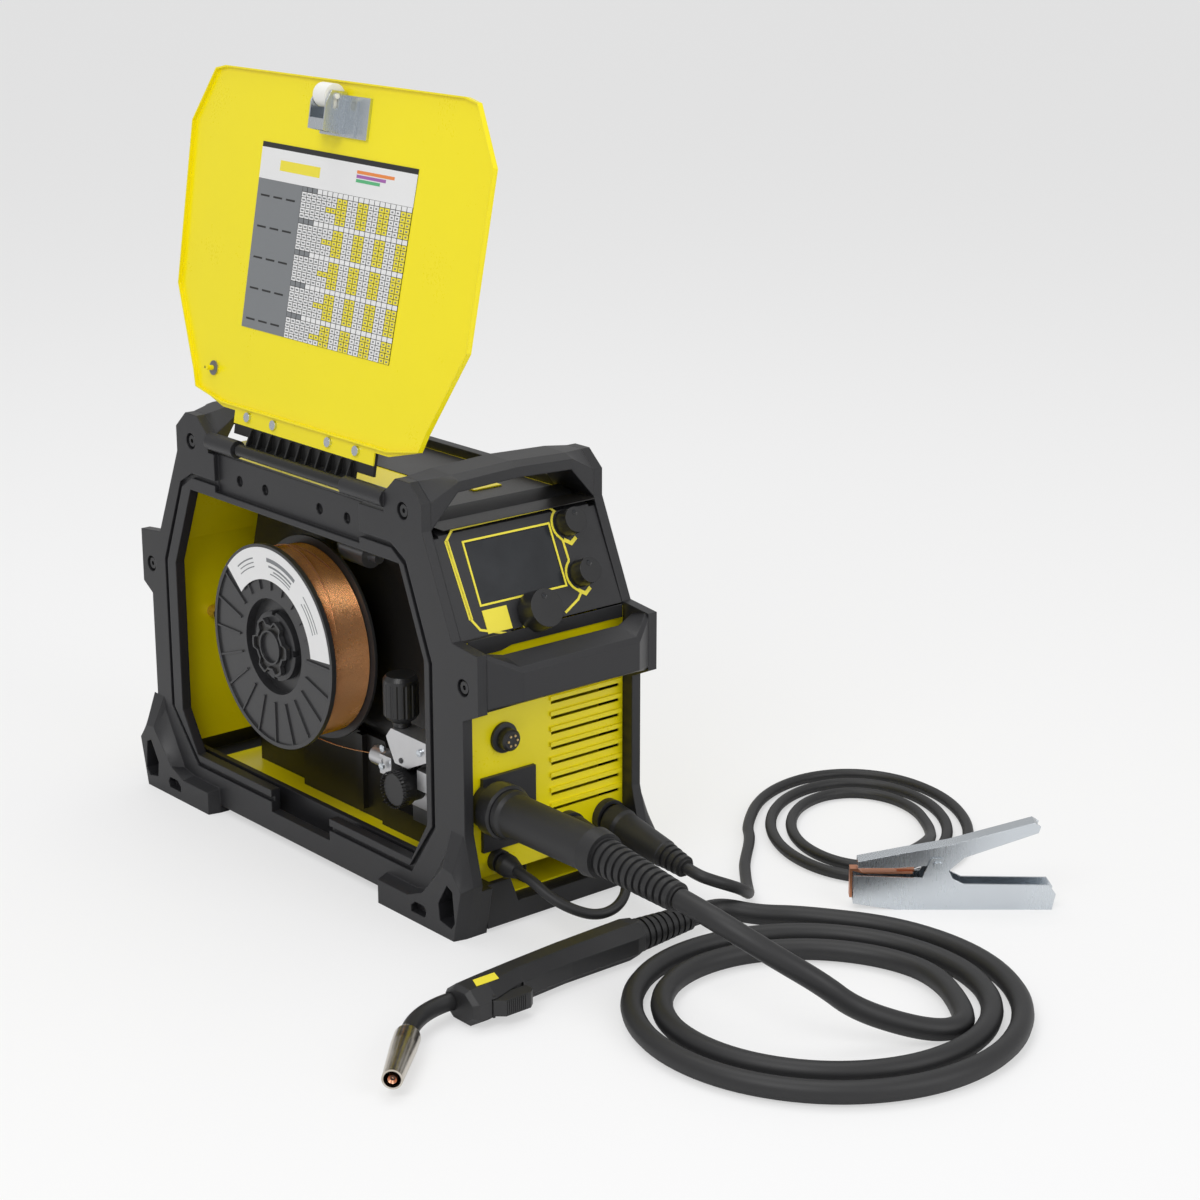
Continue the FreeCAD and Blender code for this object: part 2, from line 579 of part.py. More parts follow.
def panel_frame(x, drop, height):
    # a placement whose local Z stands square on the panel
    return Placement(on_panel(x, drop, height), Rotation(Vector(1, 0, 0), 90 - s.panel_lean))


def panel_point(drop, height):
    where = on_panel(0, drop, height)
    return where.y, where.z


fascia_loop = [
    panel_point(s.panel_length, 0), panel_point(0, 0), (-s.panel_crest_reach, s.panel_crest),
    (-s.panel_crest_reach, s.panel_crest - s.panel_thickness),
    panel_point(s.panel_thickness * 0.6, -s.panel_thickness),
    panel_point(s.panel_length, -s.panel_thickness),
]
fascia_half = inner_face - s.side_gap
fascia = Part.Face(polygon([(-fascia_half, y, z) for y,
                            z in fascia_loop])).extrude(Vector(2 * fascia_half, 0, 0))
window_hole = Part.makeBox(s.window_width, s.window_length, s.panel_thickness * 3)
window_hole.Placement = panel_frame(s.window_middle - s.window_width / 2, s.window_drop + s.window_length,
                                    -s.panel_thickness * 1.5)
KNOBS = [
    ("knob_upper", s.knob_place, s.knob_upper_drop, s.knob_radius, s.knob_height),
    ("knob_middle", s.knob_place, s.knob_middle_drop, s.knob_radius, s.knob_height),
    ("knob_main", s.dial_place, s.dial_drop, s.dial_radius, s.dial_height),
]
stem_holes = []
for label, x, drop, radius, height in KNOBS:
    hole = Part.makeCylinder(s.stem_radius + s.running_gap, s.panel_thickness * 3)
    hole.Placement = panel_frame(x, drop, -s.panel_thickness * 1.5)
    stem_holes.append(hole)
corners = [Part.makeBox(20, s.brow_front, 60, Vector(side, -s.brow_front - 20, s.panel_top - 2))
           for side in (-inner_face - 13, inner_face - 7)]
feature("control_panel", fascia.cut([window_hole] + stem_holes + corners))

glass = Part.makeBox(s.window_width - 0.4, s.window_length - 0.4, s.window_thickness)
feature("display_window", glass, panel_frame(s.window_middle - s.window_width / 2 + 0.2,
                                             s.window_drop + s.window_length - 0.2,
                                             -s.window_thickness - 0.4))

for label, x, drop, radius, height in KNOBS:
    cap = Part.makeCone(radius, radius * 0.94, height)
    dimple = Part.makeCylinder(1.6, 1.2, Vector(0, radius * 0.6, height - 1.2))
    stem = Part.makeCylinder(s.stem_radius, s.stem_depth, Vector(0, 0, -s.stem_depth))
    feature(label, cap.fuse(stem).cut(dimple).removeSplitter(), panel_frame(x, drop, s.side_gap))


# Wire spool, its winding and the hub that it turns on

spool = turned("spool", [
    ("spool_bore", "bore_recess"), ("spool_bore", "spool_width"), ("spool_bore + bore_wall", "spool_width"),
    ("spool_bore + bore_wall", "bore_recess + bore_wall"), ("barrel_radius - barrel_wall",
                                                            "bore_recess + bore_wall"),
    ("barrel_radius - barrel_wall", "spool_width"), ("spool_radius", "spool_width"),
    ("spool_radius", "spool_width - flange_thickness"), ("barrel_radius", "spool_width - flange_thickness"),
    ("barrel_radius", "flange_thickness"), ("spool_radius", "flange_thickness"),
    ("spool_radius", "-rim_height"), ("spool_radius - rim_width", "-rim_height"),
                         ("spool_radius - rim_width", "0"),
    ("barrel_radius - barrel_wall", "0"), ("barrel_radius - barrel_wall", "bore_recess"),
], "-spool_outer", "spool_place", "spool_height", "x")
rib = pad(spool, "floor", [box_loop("barrel_radius + 4", "-rim_height / 2", "spool_radius - rim_width / 2",
                                    "rim_height / 2")], "-rim_height * 0.8", "rim_height + 0.2")
doc.recompute()
ribs = spool.newObject("PartDesign::PolarPattern", "spool_ribs_round")
ribs.Originals = [rib]
ribs.Axis = (next(axis for axis in spool.Origin.OriginFeatures if axis.Role == "Z_Axis"), [""])
ribs.Angle = 360
drive(ribs, "Occurrences", "spool_ribs")
spool.Tip = ribs
keep(spool)

hub = turned("spool_hub", [
    ("hub_bore", "-hub_nut_height - 1"), ("hub_bore", "spool_outer - divider_place - bore_recess"),
    ("hub_plate_radius", "spool_outer - divider_place - bore_recess"),
    ("hub_plate_radius", "spool_outer - divider_place - bore_recess - 4"),
    ("spool_bore + 5", "spool_outer - divider_place - bore_recess - 4"),
    ("spool_bore + 5", "spool_width - bore_recess + side_gap"),
    ("spool_bore - running_gap", "spool_width - bore_recess + side_gap"),
                           ("spool_bore - running_gap", "-side_gap"),
    ("hub_nut_radius", "-side_gap"), ("hub_nut_radius", "-hub_nut_height"),
    ("hub_nut_radius - 3", "-hub_nut_height - 1"),
], "-spool_outer + bore_recess", "spool_place", "spool_height", "x")
pad(hub, "floor", [("circle", "0", "0", "hub_bore + 1")], "-hub_nut_height - 4", "20")
notches = [box_loop(f"-3 + ({a})", f"-3 + ({b})", f"3 + ({a})", f"3 + ({b})")
           for a, b in (("hub_nut_radius", "0"), ("-hub_nut_radius", "0"), ("0", "hub_nut_radius"),
                        ("0", "-hub_nut_radius"))]
pocket(hub, "floor", notches, "-hub_nut_height - 2", "hub_nut_height + 1")
keep(hub)


# Tubes and coils

def unit(vector):
    return Vector(vector) / vector.Length


def arc_between(start, heading, end):
    # the arc that leaves start along heading and reaches end
    chord = end - start
    along = unit(chord)
    side = heading - along * heading.dot(along)
    if side.Length < 1e-7:
        return Part.LineSegment(start, end).toShape()
    swing = math.acos(max(-1.0, min(1.0, heading.dot(along))))
    middle = (start + end) / 2 + unit(side) * (chord.Length / 2 * math.tan(swing / 2))
    return Part.Arc(start, middle, end).toShape()


def biarc(start, heading, end, final):
    # two arcs that join smoothly and match the directions at both ends
    span = end - start
    total = heading + final
    turn = 2 * (1 - heading.dot(final))
    if turn < 1e-9:
        reach = span.dot(span) / (4 * span.dot(heading))
    else:
        reach = (-span.dot(total) + math.sqrt(span.dot(total) ** 2 + turn * span.dot(span))) / turn
    middle = (start + heading * reach + end - final * reach) / 2
    first = arc_between(start, heading, middle)
    last = arc_between(end, final * -1, middle)
    return [first, last]


def sweep(edges, radius, start, heading):
    # a round tube along joined edges
    spine = Part.Wire(Part.__sortEdges__(edges))
    circle = Part.Wire(Part.Circle(start, heading, radius).toShape())
    return spine.makePipeShell([circle], True, False)


def tube(label, points, radius):
    # straight runs joined by the largest tangent arcs that they allow
    points = [Vector(*point) for point in points]
    edges = []
    radii = []
    last = points[0]
    for before, corner, after in zip(points, points[1:], points[2:]):
        into = unit(corner - before)
        out = unit(after - corner)
        half = math.acos(into.dot(out)) / 2
        cut_back = 0.45 * min((corner - before).Length, (after - corner).Length)
        radii.append(cut_back / math.tan(half))
        enter = corner - into * cut_back
        leave = corner + out * cut_back
        edges.append(Part.LineSegment(last, enter).toShape())
        edges.append(arc_between(enter, into, leave))
        last = leave
    edges.append(Part.LineSegment(last, points[-1]).toShape())
    shape = sweep(edges, radius, points[0], unit(points[1] - points[0]))
    length = sum(edge.Length for edge in edges)
    print(label, "length", round(length), "least radius", round(min(radii), 1), "volume over section",
          round(shape.Volume / (math.pi * radius ** 2 * length), 4))
    return shape


def least_gap(edges, radius):
    # the least distance between stretches of the path that lie far apart along it, less a diameter
    cell = 4 * radius + 2
    cells = {}
    travelled = 0.0
    last = None
    for edge in edges:
        steps = max(2, int(edge.Length / radius))
        points = edge.discretize(steps + 1)
        if last and (points[0] - last).Length > (points[-1] - last).Length:
            points.reverse()
        last = points[-1]
        for point in points[:-1]:
            key = tuple(math.floor(value / cell) for value in point)
            cells.setdefault(key, []).append((travelled, point))
            travelled += edge.Length / steps
    least = cell
    for (i, j, k), group in cells.items():
        near = [other for x in (i - 1, i, i + 1) for y in (j - 1, j, j + 1) for z in (k - 1, k, k + 1)
                for other in cells.get((x, y, z), [])]
        for reach, point in group:
            for other_reach, other in near:
                if other_reach - reach > 3 * math.pi * radius:
                    least = min(least, (point - other).Length)
    return least - 2 * radius, travelled


def coil(label, places, headings, radius, lead_in, lead_out):
    # an unbroken tube through places, with a straight diameter at each end
    edges = [Part.LineSegment(places[0] - headings[0] * lead_in, places[0]).toShape()]
    for i in range(len(places) - 1):
        edges += biarc(places[i], headings[i], places[i + 1], headings[i + 1])
    edges.append(Part.LineSegment(places[-1], places[-1] + headings[-1] * lead_out).toShape())
    least, travelled = least_gap(edges, radius)
    shape = sweep(edges, radius, places[0] - headings[0] * lead_in, headings[0])
    print(label, "length", round(travelled), "least gap to itself", round(least, 2), "lowest",
          round(shape.BoundBox.ZMin, 2),
          "volume over section", round(shape.Volume / (math.pi * radius ** 2 * travelled), 4))
    return shape


# The winding's outer layer is one wound wire on a plain core

winding_start = -s.spool_outer + s.flange_thickness + s.winding_gap
winding_width = s.spool_width - 2 * (s.flange_thickness + s.winding_gap)
wound_radius = s.winding_radius - s.wire_radius
wound_pitch = s.wire_pitch
first_turn = winding_start + (winding_width - wound_pitch * s.wire_turns) / 2
places, headings = [], []
for quarter in range(int(s.wire_turns) * 4 + 1):
    angle = quarter * math.pi / 2
    across = first_turn + wound_pitch * quarter / 4
    places.append(Vector(across, s.spool_place + wound_radius * math.cos(angle),
                         s.spool_height + wound_radius * math.sin(angle)))
    headings.append(unit(Vector(wound_pitch / math.tau, -wound_radius * math.sin(angle),
                                wound_radius * math.cos(angle))))
layer = coil("winding", places, headings, s.wire_radius, 2 * s.wire_radius, 2 * s.wire_radius)
core_radius = wound_radius - s.wire_radius * 0.5
core = Part.makeCylinder(core_radius, winding_width, Vector(winding_start, s.spool_place, s.spool_height),
                         Vector(1, 0, 0))
core = core.cut(Part.makeCylinder(s.barrel_radius + s.side_gap, winding_width,
                                  Vector(winding_start, s.spool_place, s.spool_height), Vector(1, 0, 0)))
feature("wire_winding", core.fuse(layer))


# Wire feeder: plate with guides, motor, drive roll, pressure arm and tension knob

feeder_back = "-feeder_plate_outer"
plate = body("feeder_frame")
plate_loop = [
    ("arm_pivot_place - 12", "wire_line_height - 42"), ("arm_pivot_place - 12", "arm_pivot_height + 6"),
    ("arm_pivot_place", "arm_pivot_height + 12"), ("arm_pivot_place + 14", "arm_pivot_height + 4"),
    ("arm_tip_place + 12", "wire_line_height + 26"), ("arm_tip_place + 18", "wire_line_height - 42"),
]
pad(plate, "side", [plate_loop], feeder_back, "feeder_plate_thickness")
pad(plate, "side", [("circle", "arm_pivot_place", "arm_pivot_height", "axle_radius")],
    "wire_line_place - arm_width / 2 - 3", "-feeder_plate_outer - wire_line_place + arm_width / 2 + 4")
for low, high in (("roll_place + roll_radius + 5", "arm_tip_place + 18"),
                  ("arm_pivot_place - 12", "roll_place - roll_radius - 5")):
    pad(plate, "side", [box_loop(low, "wire_line_height - 12", high, "wire_line_height + 7")],
        "wire_line_place - 8", "-feeder_plate_outer - wire_line_place + 9")
guide = ("circle", "wire_line_place", "wire_line_height", "guide_radius")
pad(plate, "front", [guide], "-arm_tip_place - 34", "20")
pad(plate, "front", [("circle", "wire_line_place", "wire_line_height", "guide_radius - 2")],
    "-arm_pivot_place + 10", "front_sheet_reach - sheet_thickness + arm_pivot_place - 10")
pocket(plate, "side", [("circle", "roll_place", "wire_line_height - roll_radius - 0.15",
                        "axle_radius + running_gap")],
       "-feeder_plate_outer - 1", "feeder_plate_thickness + 2")
pocket(plate, "front", [("circle", "wire_line_place", "wire_line_height", "wire_radius + 0.9")], "60",
       "200")
keep(plate)

motor_start = "-feeder_plate_outer + feeder_plate_thickness"
motor = rod("motor_can", "motor_radius", "motor_length", motor_start, "motor_place", "motor_height", "x")
gearbox = block("motor_gearbox", motor_start, "motor_place - motor_radius", "motor_height - motor_radius",
                "feeder_plate_outer - feeder_plate_thickness - divider_place - 8", "2 * motor_radius + 6",
                "2 * motor_radius + 10")
shaft_hole = rod("motor_shaft_hole", "axle_radius + running_gap", "12", f"{motor_start} - 1", "roll_place",
                 "wire_line_height - roll_radius - 0.15", "x")
feed_motor = cut("feed_motor", join("feed_motor_blank", motor, gearbox), shaft_hole)
keep(feed_motor)

roll_height = "wire_line_height - roll_radius - 0.15"
roll_front = "wire_line_place - roll_width / 2"
drive_roll = turned("drive_roll", [
    ("0", "-roll_cap_length"), ("roll_cap_radius - 2", "-roll_cap_length"),
                                   ("roll_cap_radius", "2 - roll_cap_length"),
    ("roll_cap_radius", "-1"), ("roll_radius - 3", "0"), ("roll_radius", "0"),
    ("roll_radius", "roll_width / 2 - wire_radius"), ("roll_radius - wire_radius", "roll_width / 2"),
    ("roll_radius", "roll_width / 2 + wire_radius"), ("roll_radius", "roll_width"),
                                   ("axle_radius", "roll_width"),
    ("axle_radius", "roll_width + 14"), ("0", "roll_width + 14"),
], roll_front, "roll_place", roll_height, "x")
keep(drive_roll)

arm = body("pressure_arm")
arm_loop = [
    ("arm_pivot_place - 9", "arm_pivot_height - 7"), ("arm_pivot_place - 9", "arm_pivot_height + 7"),
    ("arm_pivot_place", "tension_low - side_gap - 1"), ("tension_place + 2", "tension_low - side_gap"),
    ("arm_tip_place + 3", "tension_low - 10"), ("arm_tip_place", "tension_low - 16"),
    ("roll_place + 10", "wire_line_height + pressure_roll_radius - 5"),
    ("roll_place - 10", "wire_line_height + pressure_roll_radius - 5"),
    ("arm_pivot_place + 8", "arm_pivot_height - 9"),
]
arm_start = "wire_line_place - arm_width / 2"
pad(arm, "side", [arm_loop], arm_start, "arm_width")
hollow = [
    ("arm_pivot_place + 12", "wire_line_height"), ("arm_pivot_place + 12", "tension_low - side_gap - 5"),
    ("arm_tip_place + 9", "tension_low - side_gap - 4"), ("arm_tip_place + 9", "wire_line_height"),
]
pocket(arm, "side", [hollow], f"{arm_start} + arm_wall", "arm_width - 2 * arm_wall")
pocket(arm, "side", [("circle", "arm_pivot_place", "arm_pivot_height", "axle_radius + running_gap"),
                     ("circle", "roll_place", "wire_line_height + pressure_roll_radius + 0.15",
                      "pressure_axle_radius + running_gap")], f"{arm_start} - 1", "arm_width + 2")
pocket(arm, "floor", [box_loop("wire_line_place - tension_rod_radius - 1.5", "tension_place - 5.5",
                               "wire_line_place + tension_rod_radius + 1.5", "arm_tip_place + 8")],
       "tension_low - 20", "22")
keep(arm)

pressure_roll = turned("pressure_roll", [
    ("0", "-roll_width / 2 - arm_wall - 3"), ("pressure_axle_radius", "-roll_width / 2 - arm_wall - 3"),
    ("pressure_axle_radius", "-roll_width / 2"), ("pressure_roll_radius", "-roll_width / 2"),
    ("pressure_roll_radius", "roll_width / 2"), ("pressure_axle_radius", "roll_width / 2"),
    ("pressure_axle_radius", "roll_width / 2 + arm_wall + 1"), ("0", "roll_width / 2 + arm_wall + 1"),
], "wire_line_place", "roll_place", "wire_line_height + pressure_roll_radius + 0.15", "x")
keep(pressure_roll)

tension = turned("tension_knob", [
    ("0", "tension_pivot_height - tension_low"), ("tension_rod_radius",
                                                  "tension_pivot_height - tension_low"),
    ("tension_rod_radius", "0"), ("8", "0"), ("9", "5"), ("tension_radius - 3", "8"),
                                  ("tension_radius", "12"),
    ("tension_radius", "tension_height - 4"), ("tension_radius - 3", "tension_height"),
                                  ("0", "tension_height"),
], "wire_line_place", "tension_place", "tension_low", "z")
flute = ("circle", "tension_radius + 1.2", "0", "2")
flute_cut = pocket(tension, "floor", [flute], "11", "tension_height - 18")
doc.recompute()
flutes = tension.newObject("PartDesign::PolarPattern", "tension_flutes")
flutes.Originals = [flute_cut]
flutes.Axis = (next(axis for axis in tension.Origin.OriginFeatures if axis.Role == "Z_Axis"), [""])
flutes.Angle = 360
flutes.Occurrences = 16
tension.Tip = flutes
keep(tension)


# Side door: a folded sheet hung on a rod, shown thrown open over the top

def on_door(item):
    # the door's own frame: X square off the sheet, Z along it away from the hinge
    item.Placement = Placement(Vector(), Rotation(Vector(0, 1, 0), s.door_lean))
    drive(item, "Placement.Base.x", "hinge_place")
    drive(item, "Placement.Base.z", "hinge_height")
    return item


def door_side(inset):
    return [
        (f"door_tab_half + 21 - {inset} * 0.4", f"door_shoulder + {inset}"),
        (f"door_half_low - 7 - {inset} * 0.7", f"door_shoulder + 12 + {inset}"),
        (f"door_half_low - {inset}", f"door_low + {inset} * 0.4"),
            (f"door_half_knee - {inset}", "door_knee"),
        (f"door_half_wide - {inset}", f"door_wide - {inset} * 0.3"),
        (f"door_half_top - {inset} * 0.6", f"door_top - {inset} * 0.9"),
        (f"door_half_end - {inset}", f"door_end - {inset}"),
    ]


door = on_door(body("door_panel"))
tab = [("door_tab_half", "door_tab_low"), ("door_tab_half", "door_shoulder")]
pad(door, "side", [both_sides(tab + door_side("0"))], "door_offset", "door_thickness")
border = [both_sides([("door_tab_half + 21 - (" + inset + ") * 0.4", "door_shoulder + 4 + " + inset)]
                     + door_side(inset)[1:]) for inset in ("0", "door_thickness")]
pad(door, "side", border, "door_offset - door_rim", "door_rim")
pin_place = ("155", "68")
pad(door, "side", [("circle", *pin_place, "7")], "door_offset - 1.5", "1.5")
pad(door, "side", [("circle", *pin_place, "2.5")], "door_offset - 10", "10")
door_holes = [("circle", f"bolt_centre + ({y})", "bolt_drop",
               "bolt_shank_radius + running_gap") for y in BOLTS]
pocket(door, "side", door_holes, "door_offset - 1", "door_thickness + 2")
keep(door)

hinge = on_door(body("door_hinge"))
plate_face = "door_offset + door_thickness"
pad(hinge, "side", [box_loop("-door_tab_half", "bracket_low", "door_tab_half", "bolt_drop + 9")],
    plate_face, "bracket_thickness")
pad(hinge, "front", [("circle", "0", "0", "bracket_knuckle_radius")], "-bracket_half", "2 * bracket_half")
web = [("0", "-3"), (f"{plate_face} + bracket_thickness - 3", "2"),
       (f"{plate_face} + bracket_thickness", "6"),
       (f"{plate_face} + bracket_thickness", "bracket_low + 1"), (plate_face, "bracket_low + 1"),
       (plate_face, "7"),
       (f"{plate_face} - 3", "5"), ("0", "3.5")]
pad(hinge, "front", [web], "-bracket_half", "2 * bracket_half")
for i in range(int(s.bracket_rib_count)):
    across = f"(({i}) / (bracket_rib_count - 1) - 0.5) * (2 * bracket_half - 8)"
    pad(hinge, "front", [[(f"{plate_face} + 0.5", "4"), (f"{plate_face} + 0.5", "door_tab_low - 1"),
                          (f"{plate_face} - 3", "door_tab_low - 2"), ("3", "5")]],
        f"{across} - bracket_rib_width / 2", "bracket_rib_width")
pocket(hinge, "front", [("circle", "0", "0", "hinge_rod_radius + running_gap")], "-bracket_half - 1",
       "2 * bracket_half + 2")
pocket(hinge, "side", door_holes, "door_offset", "door_thickness + bracket_thickness + 2")
keep(hinge)

hinge_rod = rod("hinge_rod", "hinge_rod_radius", "block_inner_rear + block_inner_front - 4", "hinge_place",
                "-block_inner_front + 2", "hinge_height", "y")
hinge_rod.Label = "hinge_rod"
keep(hinge_rod)


def door_bolt(number, across):
    head = rod(f"bolt_head_{number}", "bolt_head_radius", "bolt_head_height",
               "door_offset - bolt_head_height",
               f"bolt_centre + ({across})", "bolt_drop", "x")
    shank = rod(f"bolt_shank_{number}", "bolt_shank_radius", "door_thickness + bracket_thickness + 1.5",
                "door_offset",
                f"bolt_centre + ({across})", "bolt_drop", "x")
    cap = rod(f"bolt_nut_{number}", "bolt_head_radius", "bolt_head_height",
              "door_offset + door_thickness + bracket_thickness", f"bolt_centre + ({across})",
              "bolt_drop", "x")
    return join(f"door_bolt_{number}", head, shank, cap)


door_bolts = doc.addObject("Part::Compound", "door_bolts")
door_bolts.Links = [door_bolt(number, across) for number, across in enumerate(BOLTS)]
keep(on_door(door_bolts))

latch = on_door(body("door_latch"))
pad(latch, "side", [box_loop("-latch_front", "latch_low", "latch_rear", "latch_high")],
    "door_offset - latch_plate", "latch_plate")
leg = [("door_offset - latch_plate", "latch_low + 2"), ("-latch_reach", "latch_low + 4"),
       ("-latch_reach", "latch_high - 8"),
       ("-latch_reach + 5", "roller_drop + 5"), ("door_offset - latch_plate", "roller_drop + 5")]
for edge in ("latch_leg_front", "-latch_leg_rear - latch_wall"):
    pad(latch, "front", [leg], edge, "latch_wall")
pad(latch, "side", [box_loop("-latch_leg_front", "latch_low + 4", "latch_leg_rear",
                             "roller_drop - roller_radius - 2 - roller_travel")],
    "-latch_reach", "latch_wall")
pad(latch, "side", [box_loop("-latch_leg_front - 20", "latch_low + 1", "-latch_leg_front",
                             "latch_high - 4")],
    "door_offset - latch_plate - latch_wall", "latch_wall")
slot_low = "roller_drop - roller_travel"
slots = [(f"door_offset - roller_depth - pin_radius - 0.2", slot_low + " - pin_radius - 0.3"),
         (f"door_offset - roller_depth + pin_radius + 0.2", slot_low + " - pin_radius - 0.3"),
         (f"door_offset - roller_depth + pin_radius + 0.2", "roller_drop + pin_radius + 0.3"),
         (f"door_offset - roller_depth - pin_radius - 0.2", "roller_drop + pin_radius + 0.3")]
pocket(latch, "front", [slots], "-latch_leg_rear - 4", "latch_leg_front + latch_leg_rear + 8")
keep(latch)

roller = doc.addObject("Part::MultiFuse", "latch_roller")
roller.Label = "latch_roller"
roller_mid = "(latch_leg_rear - latch_leg_front) / 2"
roller.Shapes = [
    rod("roller_wheel", "roller_radius", "latch_leg_front + latch_leg_rear - 2",
        "door_offset - roller_depth",
        "-latch_leg_front + 1", "roller_drop", "y"),
    rod("roller_pin", "pin_radius", "latch_leg_front + latch_leg_rear + 2 * latch_wall + 3",
        "door_offset - roller_depth",
        "-latch_leg_front - latch_wall - 1.5", "roller_drop", "y"),
]
keep(on_door(roller))


# Rear fittings: fan, mains switch, mains gland, gas inlet; and the units inside

fan = turned("fan", [
    ("fan_shaft_radius + running_gap", "0"), ("fan_hub_radius - 2", "0"), ("fan_hub_radius", "2"),
    ("fan_hub_radius", "fan_depth"), ("fan_shaft_radius + running_gap", "fan_depth"),
], "fan_place", "rear_sheet_reach - 8 - fan_depth", "fan_height", "y")
blade = pad(fan, "floor", [[("fan_hub_radius - 1", "-5"), ("fan_radius - 4", "-12"), ("fan_radius", "0"),
                            ("fan_radius - 6", "8"), ("fan_hub_radius - 1", "4")]], "fan_depth * 0.4",
            "2.5")
doc.recompute()
blades = fan.newObject("PartDesign::PolarPattern", "fan_blades_round")
blades.Originals = [blade]
blades.Axis = (next(axis for axis in fan.Origin.OriginFeatures if axis.Role == "Z_Axis"), [""])
blades.Angle = 360
drive(blades, "Occurrences", "fan_blades")
fan.Tip = blades
keep(fan)

core_block = block("unit_core", "unit_left", "-unit_front", "floor_height + sheet_thickness",
                   "unit_right - unit_left",
                   "unit_front + unit_rear", "unit_top - floor_height - sheet_thickness")
shaft = rod("unit_shaft", "fan_shaft_radius", "rear_sheet_reach - 10 - unit_rear", "fan_place", "unit_rear",
            "fan_height", "y")
fins = [block(f"unit_fin_{i}", f"unit_left + 3 + {i} * (unit_right - unit_left - 9) / 7",
              "-unit_front + 8", "unit_top",
              "3", "unit_front + unit_rear - 16", "unit_fin_height") for i in range(8)]
keep(join("power_unit", core_block, shaft, *fins))

gland = turned("mains_gland", [
    ("gland_bore", "-8"), ("gland_radius - 3", "-8"), ("gland_radius - 3", "0"), ("gland_radius + 3", "0"),
    ("gland_radius + 3", "4"), ("gland_radius", "5"), ("gland_radius", "gland_length - 3"),
    ("gland_radius - 4", "gland_length"), ("gland_bore", "gland_length"),
], "gland_place", "rear_sheet_reach", "gland_height", "y")
keep(gland)

inlet = turned("gas_inlet", [
    ("inlet_bore", "-14"), ("inlet_radius - 1", "-14"), ("inlet_radius - 1", "0"),
                             ("inlet_radius + 4", "0"),
    ("inlet_radius + 4", "5"), ("inlet_nipple_radius", "5"), ("inlet_nipple_radius", "inlet_nipple_length"),
    ("inlet_bore", "inlet_nipple_length"),
], "inlet_place", "rear_sheet_reach", "inlet_height", "y")
keep(inlet)

switch = doc.addObject("Part::MultiFuse", "power_switch")
switch.Label = "power_switch"
switch.Shapes = [
    rod("rocker_drum", "switch_tall / 2 - 0.5", "2 * switch_half - 0.8", "-switch_half + 0.4", "0", "0",
        "x"),
    block("rocker_paddle", "-switch_half + 0.4", "4", "1", "2 * switch_half - 0.8", "6", "7"),
]
place(switch, "switch_place", "rear_sheet_reach - 1", "switch_height")
keep(switch)

valve = join("gas_valve", rod("valve_coil", "valve_radius", "valve_length", "valve_place", "valve_reach",
                              "valve_height", "y"),
             rod("valve_stub", "valve_radius * 0.45", "valve_length + 24", "valve_place",
                 "valve_reach - 12", "valve_height", "y"),
             block("valve_foot", "valve_place", "valve_reach + 4", "valve_height - 8",
                   "-valve_place - divider_place",
                   "valve_length - 8", "16"))
keep(valve)


# Front fittings: remote socket, output sockets, torch connector and plugs

front_face = "-front_sheet_reach"
remote = turned("remote_socket", [
    ("0", "0"), ("socket_radius", "0"), ("socket_radius", "3"), ("socket_radius - 4", "4"),
                                  ("socket_radius - 4", "12"),
    ("socket_radius - 6", "14"), ("0", "14"),
], "remote_place", front_face, "remote_height", "-y")
keep(remote)

surround = block("gun_surround", "wire_line_place - 10", f"{front_face} - 4", "wire_line_height - 43",
                 "60", "4", "70")
collar = rod("gun_collar", "gun_radius + 4", "9", "wire_line_place", front_face, "wire_line_height", "-y")
bore = rod("gun_bore", "gun_radius - 4", "20", "wire_line_place", f"{front_face} + 5", "wire_line_height",
           "-y")
gun_socket = cut("gun_socket", join("gun_socket_blank", surround, collar), bore)
keep(gun_socket)

nut = turned("gun_nut", [
    ("gun_radius + 0.3", "9.3"), ("gun_nut_radius - 2", "9.3"), ("gun_nut_radius", "11"),
    ("gun_nut_radius", "26"), ("gun_nut_radius - 2", "28"), ("gun_radius + 0.3", "28"),
], "wire_line_place", front_face, "wire_line_height", "-y")
keep(nut)


def rings(radius_from, radius_to, start, length, count):
    # the outline of a ribbed relief: count raised rings along its length
    profile = []
    for i in range(count):
        share = i / count
        outer = radius_from + (radius_to - radius_from) * share
        low = start + length * share
        step = length / count
        profile += [(outer, low), (outer, low + step * 0.62), (outer - 2, low + step * 0.66),
                    (outer - 2, low + step)]
    return profile


def spun(profile):
    return Part.Face(polygon([(r, 0, h) for r, h in profile])).revolve(Vector(), Vector(0, 0, 1), 360)


gun_body = spun([
    (0, 9.6), (s.gun_radius - 0.4, 9.6), (s.gun_radius - 0.4, 28.5), (s.gun_radius + 4, 28.5),
                 (s.gun_radius + 4, 34),
    (s.gun_radius + 2, 38), (s.gun_radius + 1.5, s.gun_length - 16), (s.gun_radius + 4, s.gun_length - 14),
    (s.gun_radius + 2, s.gun_length), (0, s.gun_length),
])
relief_drop = math.degrees(math.atan2(s.gun_relief_fall, s.gun_relief_length))
gun_relief = spun([(0, 0)] + rings(s.gun_relief_radius, s.torch_cable_radius + 3, 0, s.gun_relief_length,
                                   12)
                  + [(0, s.gun_relief_length)])
gun_relief.Placement = Placement(Vector(0, 0, s.gun_length - 4), Rotation(Vector(1, 0, 0), relief_drop))
feature("gun_plug", gun_body.fuse(gun_relief).removeSplitter(),
        Placement(Vector(s.wire_line_place, -s.front_sheet_reach, s.wire_line_height),
                  Rotation(Vector(1, 0, 0), 90)))

